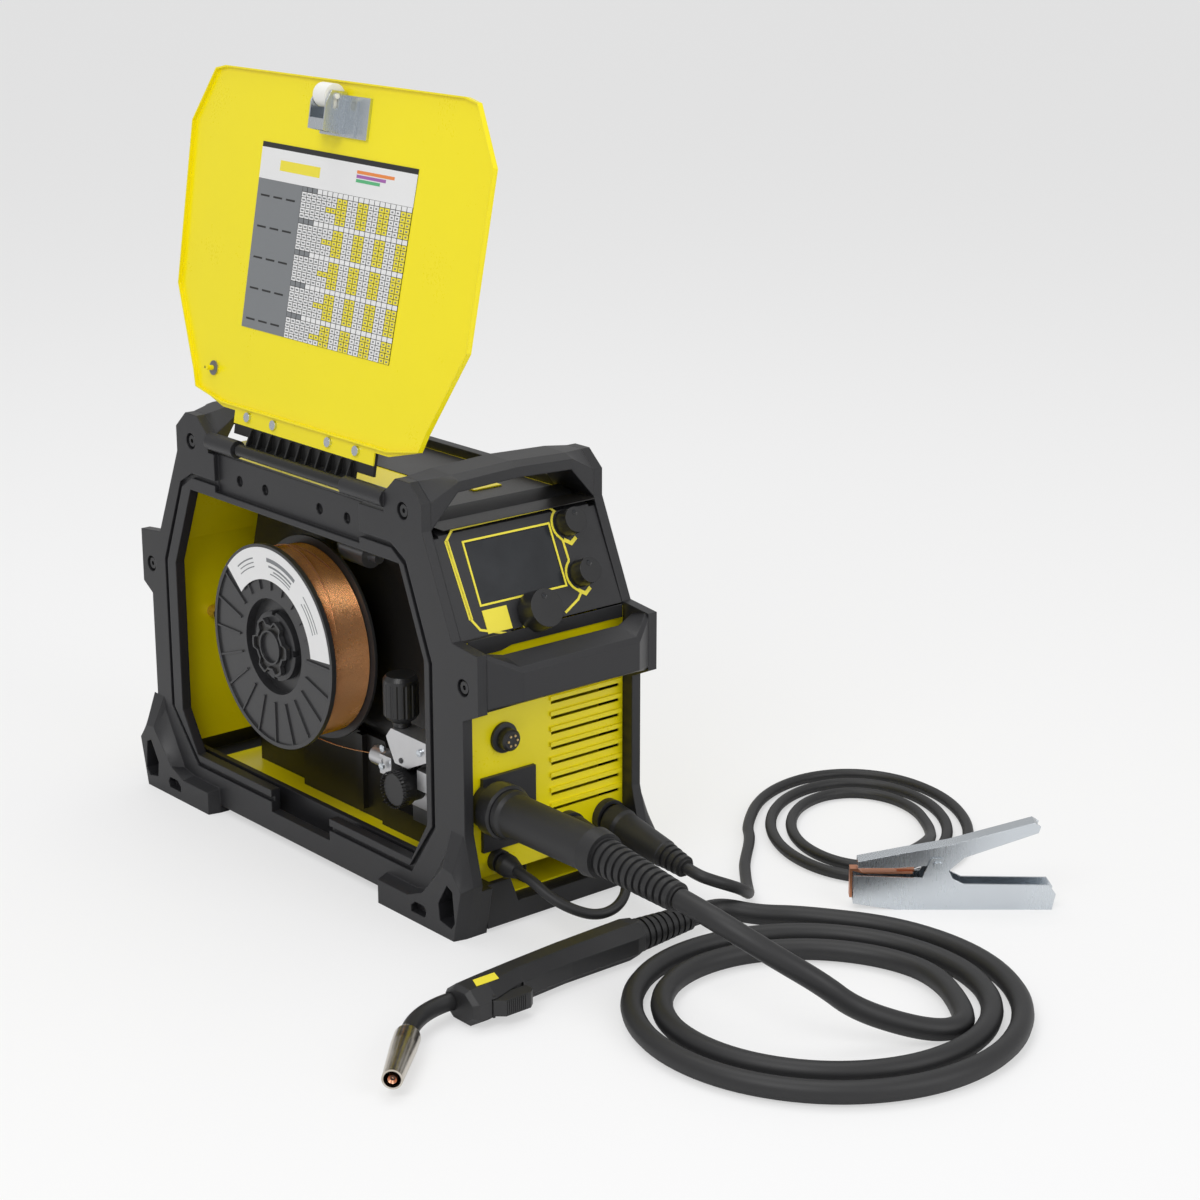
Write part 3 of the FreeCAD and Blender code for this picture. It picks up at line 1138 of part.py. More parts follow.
SOCKETS = [
    ("socket_left", "lead_place", "lead_height", "lead_socket_radius", "lead_socket_radius - 2.5"),
    ("socket_middle", "middle_place", "outlet_height", "outlet_radius", "plug_radius + side_gap"),
    ("socket_right", "outlet_place", "outlet_height", "outlet_radius", "plug_radius + side_gap"),
]
output_sockets = doc.addObject("Part::Compound", "output_sockets")
output_sockets.Links = [
    cut(name, rod(name + "_ring", outer, "8", x, front_face, z, "-y"),
        rod(name + "_bore", inner, "12", x, f"{front_face} + 1", z, "-y"))
    for name, x, z, outer, inner in SOCKETS
]
keep(output_sockets)

plug_end = math.radians(s.plug_droop)
plug_seat = -s.front_sheet_reach - s.side_gap - s.plug_radius * math.sin(plug_end)
earth_plug = spun([
    (0, 0), (s.plug_radius - 1.5, 0), (s.plug_radius - 1.5, 9), (s.plug_radius + 3.5, 9),
                   (s.plug_radius + 3.5, 22),
    (s.plug_radius + 2, 26), (s.plug_radius, s.plug_length - 30),
] + rings(s.plug_radius - 1, s.earth_cable_radius + 4, s.plug_length - 29, 29, 4) + [(0, s.plug_length)])
feature("earth_plug", earth_plug,
        Placement(Vector(s.outlet_place, plug_seat, s.outlet_height),
                  Rotation(Vector(1, 0, 0), 90 + s.plug_droop)))

boot = spun([(0, 0), (s.lead_socket_radius - 3.5, 0), (s.lead_socket_radius - 3.5, 9.5),
             (s.lead_socket_radius, 9.5),
             (s.lead_socket_radius, 16), (s.lead_radius + 2, 28), (0, 28)])
boot.Placement = Placement(Vector(s.lead_place, plug_seat, s.lead_height),
                           Rotation(Vector(1, 0, 0), 90 + s.plug_droop / 2))
short_plug = spun([(0, 0), (s.plug_radius - 1.5, 0), (s.plug_radius - 1.5, 9), (s.plug_radius + 3, 9),
                   (s.plug_radius + 1, 32), (s.lead_radius + 2, 48), (0, 48)])
short_plug.Placement = Placement(Vector(s.middle_place, plug_seat, s.outlet_height),
                                 Rotation(Vector(1, 0, 0), 90 + s.plug_droop / 2))
feature("polarity_plug", Part.makeCompound([boot, short_plug]))


def beyond(x, z, reach):
    # a point on the axis of a plug of the short lead, reach along it
    tilt = plug_end / 2
    return x, plug_seat - reach * math.cos(tilt), z - reach * math.sin(tilt)


lead_route = [
    beyond(s.lead_place, s.lead_height, 28), beyond(s.lead_place, s.lead_height, 46), (-53, -317, 45),
              (-42, -335, 36),
    (-26, -348, 30), (-7, -352, 32), (10, -347, 40), (21, -334, 50),
              beyond(s.middle_place, s.outlet_height, 66),
    beyond(s.middle_place, s.outlet_height, 48),
]
feature("polarity_lead", tube("polarity lead", lead_route, s.lead_radius))


# Torch cable: a free stretch down from the relief, and a coil that ends in the torch

def around(centre, u, v, z):
    # a floor place by its distances across and away from the viewer's side
    across = Vector(0.762, -0.648, 0)
    away = Vector(0.648, 0.762, 0)
    return Vector(centre[0], centre[1], z) + across * u + away * v


def spiral(centre, start, end, across, away, growth_across, growth_away, height):
    # quarter-turn places and headings of a flat oval spiral, angles in quarter turns
    places, headings = [], []
    sense = 1 if end > start else -1
    steps = int(round(abs(end - start)))
    for i in range(steps + 1):
        quarter = start + (end - start) * i / steps
        turn = quarter * math.pi / 2
        wide = across + growth_across * (quarter - start) / 4
        deep = away + growth_away * (quarter - start) / 4
        places.append(around(centre, wide * math.cos(turn), deep * math.sin(turn), height))
        rate_wide = growth_across / math.tau
        rate_deep = growth_away / math.tau
        step = around((0, 0), -wide * math.sin(turn) + rate_wide * math.cos(turn),
                      deep * math.cos(turn) + rate_deep * math.sin(turn), 0)
        headings.append(unit(step * sense))
    return places, headings


relief_tip = (s.wire_line_place,
              -s.front_sheet_reach - s.gun_length + 4 - s.gun_relief_length * math.cos(math.radians(relief_drop)),
              s.wire_line_height - s.gun_relief_length * math.sin(math.radians(relief_drop)))
torch_floor = s.torch_cable_radius + s.cable_lift
TORCH = (28, -571)
coil_places, coil_headings = spiral(TORCH, 0, 8, 118, 100, 25, 33, torch_floor)
coil_places.insert(0, Vector(43, -659, 17))
coil_headings.insert(0, unit(Vector(0.76, -0.6, -0.22)))
torch_tip_place = Vector(s.torch_tail, s.torch_line, s.torch_height)
coil_places.append(torch_tip_place + Vector(2 * s.torch_cable_radius, 0, 0))
coil_headings.append(Vector(-1, 0, 0))
coil_places.insert(len(coil_places) - 1, around(TORCH, -2, 100 + 33 * 9 / 4, torch_floor + 0.5))
coil_headings.insert(len(coil_headings) - 1, unit(around((0, 0), -0.97, -0.21, 0)))
feature("torch_cable_coil", coil("torch coil", coil_places, coil_headings, s.torch_cable_radius,
                                 2 * s.torch_cable_radius, 2 * s.torch_cable_radius))
coil_start = coil_places[0] - coil_headings[0] * (2 * s.torch_cable_radius)
relief_aim = unit(Vector(0, -s.gun_relief_length, -s.gun_relief_fall))
feed_route = [
    relief_tip, tuple(Vector(*relief_tip) + relief_aim * 30), (-58, -562, 95), (-42, -593, 79),
              (-17, -619, 58),
    tuple(coil_start - coil_headings[0] * 28), tuple(coil_start),
]
feature("torch_cable", tube("torch cable", feed_route, s.torch_cable_radius))


# Torch: handle, trigger, neck and nozzle lying on the floor

def ring_section(x, centre_y, centre_z, half_y, half_z):
    # an eight-cornered section across the handle
    corner = 0.42
    steps = [(1, corner), (corner, 1), (-corner, 1), (-1, corner), (-1, -corner), (-corner, -1),
             (corner, -1), (1, -corner)]
    return [(x, centre_y + half_y * a, centre_z + half_z * b) for a, b in steps]


line, height = s.torch_line, s.torch_height
handle_sections = [
    ring_section(s.torch_tail - 65, line, height, 15.5, 15.5),
                   ring_section(s.torch_tail - 76, line, height, 18.5, 17),
    ring_section(s.torch_tail - 150, line - 1, height, 17, 16.5),
                   ring_section(s.torch_tail - 205, line - 5, height, 17, 16.5),
    ring_section(s.torch_tail - 243, line - 11, height, 23, 16.5),
                   ring_section(s.torch_tail - 262, line - 12, height, 22, 16),
    ring_section(s.torch_tail - 266, line - 11, height, 18, 13),
]
trigger_slot = Part.makeBox(42, 19, 15)
trigger_slot.translate(Vector(s.torch_tail - 249, line - 39.5, height - 7.5))
neck_hole = Part.makeCylinder(s.neck_radius + s.side_gap, 30, Vector(s.torch_tail - 270, line, height),
                              Vector(1, 0, 0))
tail_hole = Part.makeCylinder(s.torch_relief_radius - 2 + s.side_gap, 12,
                              Vector(s.torch_tail - 76, line, height), Vector(1, 0, 0))
trigger_pivot = Vector(s.torch_tail - 245, line - 31, height - 10)
pivot_pin = Part.makeCylinder(s.trigger_pin_radius, 20, trigger_pivot)
handle = ruled(handle_sections).cut([trigger_slot, neck_hole, tail_hole])
feature("torch_handle", handle.fuse(pivot_pin))

lever = Part.Face(polygon([
    (s.torch_tail - 248, line - 27, height - 7), (s.torch_tail - 208, line - 27, height - 7),
    (s.torch_tail - 208, line - 36, height - 7), (s.torch_tail - 214, line - 41, height - 7),
    (s.torch_tail - 240, line - 41, height - 7), (s.torch_tail - 248, line - 34, height - 7),
])).extrude(Vector(0, 0, 14))
feature("torch_trigger", lever.cut(Part.makeCylinder(s.trigger_pin_radius + s.running_gap, 20, trigger_pivot)))

relief = spun([(0, -11), (s.torch_relief_radius - 2, -11), (s.torch_relief_radius - 2, 0)]
              + rings(s.torch_relief_radius, s.torch_cable_radius + 1.5, 0, 64.5, 9) + [(0, 64.5)])
feature("torch_relief", relief, Placement(Vector(s.torch_tail - 64.5, line, height),
                                          Rotation(Vector(0, 1, 0), 90)))

neck_start = Vector(s.torch_tail - 242, line, height)
neck_turn = Vector(s.torch_tail - 270, line, height)
neck_aim = Vector(-math.cos(math.radians(s.neck_angle)), -math.sin(math.radians(s.neck_angle)), 0)
neck_corner = neck_turn + neck_aim * s.neck_bend + Vector(-s.neck_bend, 0, 0)
neck_edges = [
    Part.LineSegment(neck_start, neck_turn).toShape(),
    arc_between(neck_turn, Vector(-1, 0, 0), neck_corner),
    Part.LineSegment(neck_corner, neck_corner + neck_aim * 24).toShape(),
]
neck = sweep(neck_edges, s.neck_radius, neck_start, Vector(-1, 0, 0))
nozzle_start = neck_corner + neck_aim * 8
stem = Part.makeCylinder(s.nozzle_bore - 2.5, s.nozzle_length - 12, nozzle_start, neck_aim)
contact = Part.makeCylinder(s.tip_radius, s.nozzle_length - 2, nozzle_start, neck_aim)
contact = contact.cut(Part.makeCylinder(s.wire_radius + 0.4, 20,
                                        nozzle_start + neck_aim * (s.nozzle_length - 16), neck_aim))
feature("torch_neck", neck.fuse([stem.cut(Part.makeCylinder(s.nozzle_bore, 24,
                                                            nozzle_start + neck_aim * (s.nozzle_length - 36), neck_aim)), contact]))

nozzle = spun([
    (s.neck_radius + s.side_gap, 0), (s.nozzle_radius - 1, 0), (s.nozzle_radius, 3), (s.nozzle_radius, 22),
    (s.nozzle_mouth, s.nozzle_length), (s.nozzle_bore, s.nozzle_length), (s.nozzle_bore, 20),
               (s.neck_radius + s.side_gap, 18),
])
feature("torch_nozzle", nozzle, Placement(nozzle_start, Rotation(Vector(0, 0, 1), neck_aim)))


# Earth lead: the cable winds inwards and ends in the spring clamp

earth_aim = Vector(0, -math.cos(plug_end), -math.sin(plug_end))
earth_start = Vector(s.outlet_place, plug_seat, s.outlet_height) + earth_aim * s.plug_length
earth_floor = s.earth_cable_radius + s.cable_lift
EARTH = (350, -310)
earth_places, earth_headings = spiral(EARTH, 2, -8, 111, 151, 20, 27, earth_floor)
lug = around(EARTH, 20, -170, 34)
earth_places += [around(EARTH, 61, -28, earth_floor + 3), around(EARTH, 56, -66, earth_floor + 13),
                 around(EARTH, 40, -115, earth_floor + 24),
                 lug + Vector(0.648, 0.762, 0) * (2 * s.earth_cable_radius)]
earth_headings += [unit(around((0, 0), -0.02, -1, 0.2)), unit(around((0, 0), -0.2, -1, 0.25)),
                   unit(around((0, 0), -0.35, -1, 0.15)), unit(around((0, 0), 0, -1, 0))]
feature("earth_cable_coil", coil("earth coil", earth_places, earth_headings, s.earth_cable_radius,
                                 2 * s.earth_cable_radius, 2 * s.earth_cable_radius))
earth_join = earth_places[0] - earth_headings[0] * (2 * s.earth_cable_radius)
earth_route = [
    tuple(earth_start), tuple(earth_start + earth_aim * 15), (80, -384, 46), (95, -389, 39),
               (112, -387, 30),
    (130, -377, 18), (147, -361, 8), (163, -341, earth_floor), (180, -321, earth_floor),
               (197, -302, earth_floor),
    tuple(earth_join - earth_headings[0] * 20), tuple(earth_join),
]
feature("earth_cable", tube("earth cable", earth_route, s.earth_cable_radius))


# Spring clamp: two bent arms on a rivet, with its spring and its copper strap

def on_clamp(points, start, depth):
    # a flat shape across the clamp's plane, from start, with its depth away from the viewer
    face = Part.Face(polygon([tuple(around(EARTH, a, s.clamp_line + start, b)) for a, b in points]))
    return face.extrude(Vector(0.648, 0.762, 0) * depth)


lower = on_clamp([(-28, 6), (-28, 33), (34, 31), (42, 50), (52, 50), (62, 30), (72, 25), (150, 24),
                  (156, 15), (153, 0),
                  (10, 0)], -s.clamp_half, 2 * s.clamp_half)
lower_hollow = on_clamp([(-30, 9), (-30, 60), (160, 60), (160, 3), (12, 3)], -s.clamp_half + s.clamp_wall,
                        2 * (s.clamp_half - s.clamp_wall))
rivet = Part.makeCylinder(s.rivet_radius, 2 * s.clamp_half + 5,
                          around(EARTH, s.rivet_place, s.clamp_line - s.clamp_half - 2.5, s.rivet_height),
                          Vector(0.648, 0.762, 0))
feature("clamp_lower_jaw", lower.cut(lower_hollow).fuse(rivet))

inner_half = s.clamp_half - s.clamp_wall - s.side_gap
upper = on_clamp([(-24, 40), (-24, 46), (15, 54), (58, 62), (134, 84), (140, 80), (138, 74), (72, 50),
                  (58, 37), (48, 36),
                  (38, 42), (10, 40)], -inner_half, 2 * inner_half)
upper_hollow = on_clamp([(-30, 30), (-30, 43), (15, 51), (58, 59), (145, 84), (145, 30)],
                        -inner_half + s.clamp_wall,
                        2 * (inner_half - s.clamp_wall))
rivet_hole = Part.makeCylinder(s.rivet_radius + s.running_gap, 60,
                               around(EARTH, s.rivet_place, s.clamp_line - 30, s.rivet_height),
                               Vector(0.648, 0.762, 0))
feature("clamp_upper_jaw", upper.cut([upper_hollow, rivet_hole]))

spring_places, spring_headings = [], []
for quarter in range(4 * 4 + 1):
    turn = quarter * math.pi / 2
    deep = s.clamp_line - 2 * s.spring_pitch + s.spring_pitch * quarter / 4
    spring_places.append(around(EARTH, s.rivet_place + s.spring_radius * math.cos(turn), deep,
                                s.rivet_height + s.spring_radius * math.sin(turn)))
    spring_headings.append(unit(around((0, 0), -s.spring_radius * math.sin(turn), s.spring_pitch / math.tau,
                                       s.spring_radius * math.cos(turn))))
feature("clamp_spring", coil("clamp spring", spring_places, spring_headings, s.spring_wire, 8, 9))

strap = on_clamp([(-31, 10), (-31, 38), (-24, 38), (-20, 34.5), (26, 34.5), (26, 33), (-18, 33),
                  (-28.6, 36), (-28.6, 10)], -5, 10)
lug_plate = on_clamp([(12, 33), (12, 35.5), (28, 35.5), (28, 33)], 0, s.clamp_half - s.side_gap)
feature("clamp_strap", strap.fuse(lug_plate))


# Every object has to be sound before any of them is written

doc.recompute()
os.makedirs("parts", exist_ok=True)
for item in doc.Objects:
    if "Invalid" in item.State or "Error" in item.State:
        raise RuntimeError(f"{item.Name}: {item.State}")
for item in nodes:
    if item.Shape.isNull() or not item.Shape.isValid():
        raise RuntimeError(f"{item.Label} has no sound shape")
for item in nodes:
    item.Shape.exportStep(f"parts/{item.Label}.step")
print(len(nodes), "nodes")
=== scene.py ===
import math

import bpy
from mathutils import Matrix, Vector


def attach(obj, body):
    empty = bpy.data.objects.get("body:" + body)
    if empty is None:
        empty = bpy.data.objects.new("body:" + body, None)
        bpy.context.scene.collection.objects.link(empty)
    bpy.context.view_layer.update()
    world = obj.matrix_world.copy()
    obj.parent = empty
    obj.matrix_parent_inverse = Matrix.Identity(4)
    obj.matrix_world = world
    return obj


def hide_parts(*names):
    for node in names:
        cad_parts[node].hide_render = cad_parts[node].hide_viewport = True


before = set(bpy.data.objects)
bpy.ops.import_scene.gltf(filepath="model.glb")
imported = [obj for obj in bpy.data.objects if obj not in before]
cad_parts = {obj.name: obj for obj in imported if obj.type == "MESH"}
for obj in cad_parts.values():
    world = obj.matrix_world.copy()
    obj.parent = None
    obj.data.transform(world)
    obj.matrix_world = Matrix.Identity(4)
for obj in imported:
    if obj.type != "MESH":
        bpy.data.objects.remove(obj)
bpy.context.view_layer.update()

# %% [markdown]
# A portable wire-feed welding machine stands with its side door open, and its torch and earth clamp
# lie coiled in front of it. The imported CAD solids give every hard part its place. This script gives
# them finishes, and adds the parts that a solid can't show well: cables, wire, labels and outlines.

MM = 0.001

# %% [markdown]
# The camera comes first, because the cables are judged by what it sees. It stands to the left of the
# machine's front and a little above it, with a long lens that keeps the upright edges parallel.

# %% Camera
SENSOR_WIDTH = 36
FOCAL_PIXELS, PICTURE_PIXELS = 2635, 1200
CAMERA_PLACE = (-1.4047, -1.9759, 0.9635)
LOOKS_DOWN, STANDS_LEFT = 16.8, 40.36

camera_data = bpy.data.cameras.new("camera")
camera_data.sensor_width = SENSOR_WIDTH
camera_data.lens = SENSOR_WIDTH * FOCAL_PIXELS / PICTURE_PIXELS
camera_data.clip_end = 30
camera = bpy.data.objects.new("camera", camera_data)
camera.location = CAMERA_PLACE
camera.rotation_euler = (math.radians(90 - LOOKS_DOWN), 0, math.radians(-STANDS_LEFT))
bpy.context.scene.collection.objects.link(camera)
bpy.context.scene.camera = camera
bpy.context.scene.view_settings.view_transform = "Standard"
print("lens", round(camera_data.lens, 1), "mm")

# %% [markdown]
# Finishes are built from nodes. Writing them as sums and products keeps a recipe on one line, so a
# small class wraps a socket and turns Python's operators into Math nodes.

# %% Shader maths
class Value:
    """A socket that takes part in sums and products."""

    def __init__(self, recipe, socket):
        self.recipe, self.socket = recipe, socket

    def _math(self, operation, first, second):
        made = self.recipe.node("ShaderNodeMath", {"operation": operation}, {0: first, 1: second})
        return Value(self.recipe, made.outputs[0])

    def __add__(self, other):
        return self._math("ADD", self, other)

    def __sub__(self, other):
        return self._math("SUBTRACT", self, other)

    def __mul__(self, other):
        return self._math("MULTIPLY", self, other)

    def __rsub__(self, other):
        return self._math("SUBTRACT", other, self)

    __radd__, __rmul__ = __add__, __mul__


class Recipe:
    """A material and the nodes that make it."""

    def __init__(self, name, color, roughness, metallic=0.0):
        self.material = bpy.data.materials.new(name)
        self.material.use_nodes = True
        self.tree = self.material.node_tree
        self.shader = self.tree.nodes["Principled BSDF"]
        self.material.diffuse_color = (*color, 1)
        self.color = color
        self.put("Base Color", (*color, 1))
        self.put("Roughness", roughness)
        self.put("Metallic", metallic)
        self.place = Value(self, self.node("ShaderNodeTexCoord", {}, {}).outputs["Object"])

    def node(self, kind, settings, inputs):
        made = self.tree.nodes.new(kind)
        for key, value in settings.items():
            setattr(made, key, value)
        for key, value in inputs.items():
            self.feed(made.inputs[key], value)
        return made

    def feed(self, socket, value):
        if isinstance(value, Value):
            self.tree.links.new(value.socket, socket)
        else:
            socket.default_value = value

    def put(self, socket, value):
        self.feed(self.shader.inputs[socket], value)

    def noise(self, scale, detail=3.0, stretch=None):
        place = self.place
        if stretch:
            place = Value(self, self.node("ShaderNodeMapping", {}, {0: place, 3: stretch}).outputs[0])
        made = self.node("ShaderNodeTexNoise", {}, {"Vector": place, "Scale": scale, "Detail": detail})
        return Value(self, made.outputs[0])

    def blend(self, factor, first, second):
        made = self.node("ShaderNodeMix", {"data_type": "RGBA"},
                         {0: factor, 6: (*first, 1), 7: (*second, 1)})
        return Value(self, made.outputs[2])

    def relief(self, height, strength, depth=0.0002, edge=0.0):
        inputs = {"Height": height, "Strength": strength, "Distance": depth}
        if edge:
            soft = self.node("ShaderNodeBevel", {"samples": 4}, {0: edge})
            inputs["Normal"] = Value(self, soft.outputs[0])
        made = self.node("ShaderNodeBump", {}, inputs)
        self.put("Normal", Value(self, made.outputs[0]))


def shade(color, share):
    """A lighter or darker tone of a colour."""
    return tuple(min(1.0, c * share) for c in color)


def grained(name, color, roughness, grain=1400, strength=0.25, depth=0.0002, edge=0.0, metallic=0.0,
            coat=0.0, stretch=None, mottle=0.18):
    """A finish with a fine grain, uneven gloss and slow changes of tone."""
    made = Recipe(name, color, roughness, metallic)
    slow = made.noise(14, 4)
    fine = made.noise(grain, 2, stretch)
    made.put("Base Color", made.blend(slow, shade(color, 1 - mottle), shade(color, 1 + mottle)))
    made.put("Roughness", slow * 0.12 + fine * 0.08 + (roughness - 0.1))
    made.put("Coat Weight", coat)
    made.put("Coat Roughness", 0.12)
    made.relief(fine, strength, depth, edge)
    return made.material


print("shader maths ready")

# %% [markdown]
# The machine has few finishes: a charcoal moulded polymer with a fine leather grain and rounded
# edges, glossy yellow powder coat with a faint orange peel, rubber, zinc plate and cast aluminium.

# %% Finishes
CHARCOAL = (0.016, 0.016, 0.018)
YELLOW = (0.93, 0.79, 0.0)
finish = {
    "frame": grained("frame_polymer", CHARCOAL, 0.42, 1600, 0.18, edge=0.0016),
    "fascia": grained("fascia_polymer", (0.018, 0.018, 0.02), 0.45, 2200, 0.35, edge=0.0006),
    "inner": grained("inner_black", (0.014, 0.013, 0.012), 0.36, 700, 0.3, 0.0004),
    "knob": grained("knob_polymer", (0.014, 0.014, 0.015), 0.34, 1800, 0.12, edge=0.0008),
    "spool": grained("spool_polymer", (0.03, 0.03, 0.032), 0.33, 500, 0.06, edge=0.0006),
    "yellow": grained("yellow_powder", YELLOW, 0.3, 420, 0.1, edge=0.0005, coat=0.12, mottle=0.02),
    "rubber": grained("cable_rubber", (0.016, 0.016, 0.017), 0.5, 900, 0.12),
    "grip": grained("grip_polymer", (0.017, 0.017, 0.018), 0.43, 1500, 0.2, edge=0.0012),
    "zinc": grained("zinc_plate", (0.66, 0.7, 0.74), 0.26, 900, 0.1, metallic=1.0, edge=0.0005,
                    stretch=(1, 1, 0.1), mottle=0.1),
    "cast": grained("cast_aluminium", (0.62, 0.62, 0.63), 0.34, 800, 0.3, metallic=0.9, edge=0.0008),
    "black_steel": grained("black_steel", (0.03, 0.03, 0.03), 0.36, 1000, 0.1, metallic=0.6,
                           edge=0.0005),
    "screw": grained("screw_steel", (0.06, 0.06, 0.062), 0.28, 900, 0.1, metallic=0.9, edge=0.0003),
    "copper": grained("copper_braid", (0.62, 0.27, 0.15), 0.32, 1500, 0.3, metallic=1.0, mottle=0.2),
    "wire": grained("coppered_wire", (0.78, 0.4, 0.18), 0.25, 240, 0.1, metallic=1.0, mottle=0.25),
    "tip": grained("copper_tip", (0.7, 0.36, 0.22), 0.3, 900, 0.1, metallic=1.0),
    "brass": grained("brass_fitting", (0.72, 0.52, 0.24), 0.3, 900, 0.1, metallic=1.0),
    "nylon": grained("white_nylon", (0.82, 0.82, 0.78), 0.35, 900, 0.08, edge=0.0008, mottle=0.04),
    "motor": grained("motor_can", (0.2, 0.2, 0.21), 0.35, 600, 0.1, metallic=0.7),
    "paper": grained("white_label", (0.8, 0.8, 0.8), 0.4, 1200, 0.04, mottle=0.02),
    "grey_ink": grained("grey_ink", (0.2, 0.21, 0.22), 0.42, 1200, 0.04, mottle=0.03),
    "black_ink": grained("black_ink", (0.015, 0.015, 0.015), 0.42, 1200, 0.04, mottle=0.03),
    "yellow_ink": grained("yellow_ink", (0.86, 0.74, 0.05), 0.42, 1200, 0.04, mottle=0.02),
    "orange_ink": grained("orange_ink", (0.8, 0.25, 0.06), 0.42, 1200, 0.04, mottle=0.02),
    "purple_ink": grained("purple_ink", (0.36, 0.12, 0.4), 0.42, 1200, 0.04, mottle=0.02),
    "green_ink": grained("green_ink", (0.1, 0.45, 0.2), 0.42, 1200, 0.04, mottle=0.02),
}
print(len(finish), "finishes")

# %% [markdown]
# The window over the display is smooth dark plastic, glossier than the fascia around it. The torch's
# nozzle is plated, and heat has given its mouth a straw tint.

# %% Window and nozzle finishes
window = Recipe("window_plastic", (0.014, 0.015, 0.017), 0.16)
haze = window.noise(30, 3)
window.put("Roughness", haze * 0.16 + 0.1)
window.put("Base Color", window.blend(haze, (0.012, 0.013, 0.015), (0.03, 0.033, 0.038)))
finish["window"] = window.material

nozzle = Recipe("plated_nozzle", (0.66, 0.62, 0.54), 0.22, 1.0)
streak = nozzle.noise(60, 4, (1, 1, 3))
nozzle.put("Base Color", nozzle.blend(streak, (0.42, 0.36, 0.27), (0.78, 0.75, 0.7)))
nozzle.put("Roughness", streak * 0.18 + 0.14)
finish["nozzle"] = nozzle.material
print("window and nozzle ready")

# %% [markdown]
# Every CAD part that stays visible takes one of these finishes by name. A part that isn't listed
# would keep its plain CAD colour, so the cell prints any that is left over.

# %% Dress the CAD parts
DRESS = {
    "frame": "side_frame_left side_frame_right base_tray front_handle rear_handle "
             "front_bumper rear_bumper",
    "fascia": "control_panel gun_socket output_sockets remote_socket",
    "inner": "centre_divider",
    "knob": "knob_upper knob_middle knob_main tension_knob drive_roll power_switch mains_gland gun_nut",
    "spool": "spool spool_hub fan",
    "yellow": "front_sheet floor_pan rear_sheet casing door_panel",
    "rubber": "gun_plug earth_plug polarity_plug torch_relief",
    "grip": "torch_handle torch_trigger torch_neck",
    "zinc": "hinge_rod door_latch clamp_lower_jaw clamp_upper_jaw door_bolts",
    "cast": "feeder_frame pressure_arm power_unit",
    "black_steel": "door_hinge",
    "screw": "frame_screws pressure_roll",
    "copper": "clamp_strap",
    "brass": "gas_inlet",
    "nylon": "latch_roller",
    "motor": "feed_motor gas_valve",
    "window": "display_window",
    "nozzle": "torch_nozzle",
}
dressed = set()
for look, names in DRESS.items():
    for name in names.split():
        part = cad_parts[name]
        part.data.materials.clear()
        part.data.materials.append(finish[look])
        dressed.add(name)
print("left for pieces of their own:", sorted(set(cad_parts) - dressed))


# %% [markdown]
# A cable lies where its weight puts it, in one smooth line. A NURBS curve with a round bevel gives
# that line from few points: straight out of the plug, down in a sag, and round in loose turns.

# %% Cable tools
def tube_through(name, points, radius, look, body, slot, sides=2, steps=2):
    """A round tube along a smooth curve whose control points are the given places in millimetres."""
    curve = bpy.data.curves.new(name, "CURVE")
    curve.dimensions = "3D"
    curve.bevel_depth = radius * MM
    curve.bevel_resolution = sides
    curve.resolution_u = steps
    curve.use_fill_caps = True
    spline = curve.splines.new("NURBS")
    spline.points.add(len(points) - 1)
    for point, place in zip(spline.points, points):
        point.co = (*(c * MM for c in place), 1)
    spline.order_u = 3
    spline.use_endpoint_u = True
    curve.materials.append(finish[look])
    made = bpy.data.objects.new(name, curve)
    bpy.context.scene.collection.objects.link(made)
    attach(made, body)
    return made


CORD = ("rubber", "machine", "rubber_black", 5, 8)


def around(centre, across, away, height):
    """A place by its distance across and away from the camera's view, from a centre on the floor."""
    along_x, along_y = 0.762, 0.648
    return (centre[0] + along_x * across + along_y * away,
            centre[1] - along_y * across + along_x * away, height)


def turns(centre, first, last, start_across, start_away, growth_across, growth_away, height, skip=0):
    """Control points of a flat spiral, 12 to a turn, from one quarter turn to another."""
    steps = round(abs(last - first) * 3)
    corner = 1 / math.cos(math.radians(15))
    points = []
    for step in range(skip, steps + 1):
        quarter = first + (last - first) * step / steps
        angle = quarter * math.pi / 2
        wide = (start_across + growth_across * (quarter - first) / 4) * corner
        deep = (start_away + growth_away * (quarter - first) / 4) * corner
        points.append(around(centre, wide * math.cos(angle), deep * math.sin(angle), height))
    return points


# %% [markdown]
# The torch cable is 19 mm thick, so it bends widely: out of the plug's relief, down to the floor,
# and round a little over two loose turns that end in the torch's own relief. All of it shows.

# %% Torch cable
TORCH_COIL = (28, -571)
torch_points = [
    (-64, -499.6, 106), (-64, -529.5, 103.6), (-58, -562, 95), (-42, -593, 79), (-17, -619, 58),
    (7, -632, 34), (43, -659, 17), (70, -677, 11), (99, -674, 10.1),
]
torch_points += turns(TORCH_COIL, 0, 9, 118, 100, 25, 33, 10.1, skip=1)
torch_points += [(112, -409, 12), (93, -384, 16), (74, -381, 17), (54, -381, 17)]
torch_cord = tube_through("torch_cord", torch_points, 9.5, *CORD)
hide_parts("torch_cable", "torch_cable_coil")
print("torch cable", len(torch_points), "points")

# %% [markdown]
# The earth cable is thinner. It leaves its plug, drops to the floor, winds inwards for two and a half
# turns and rises over them to the lug of the clamp.

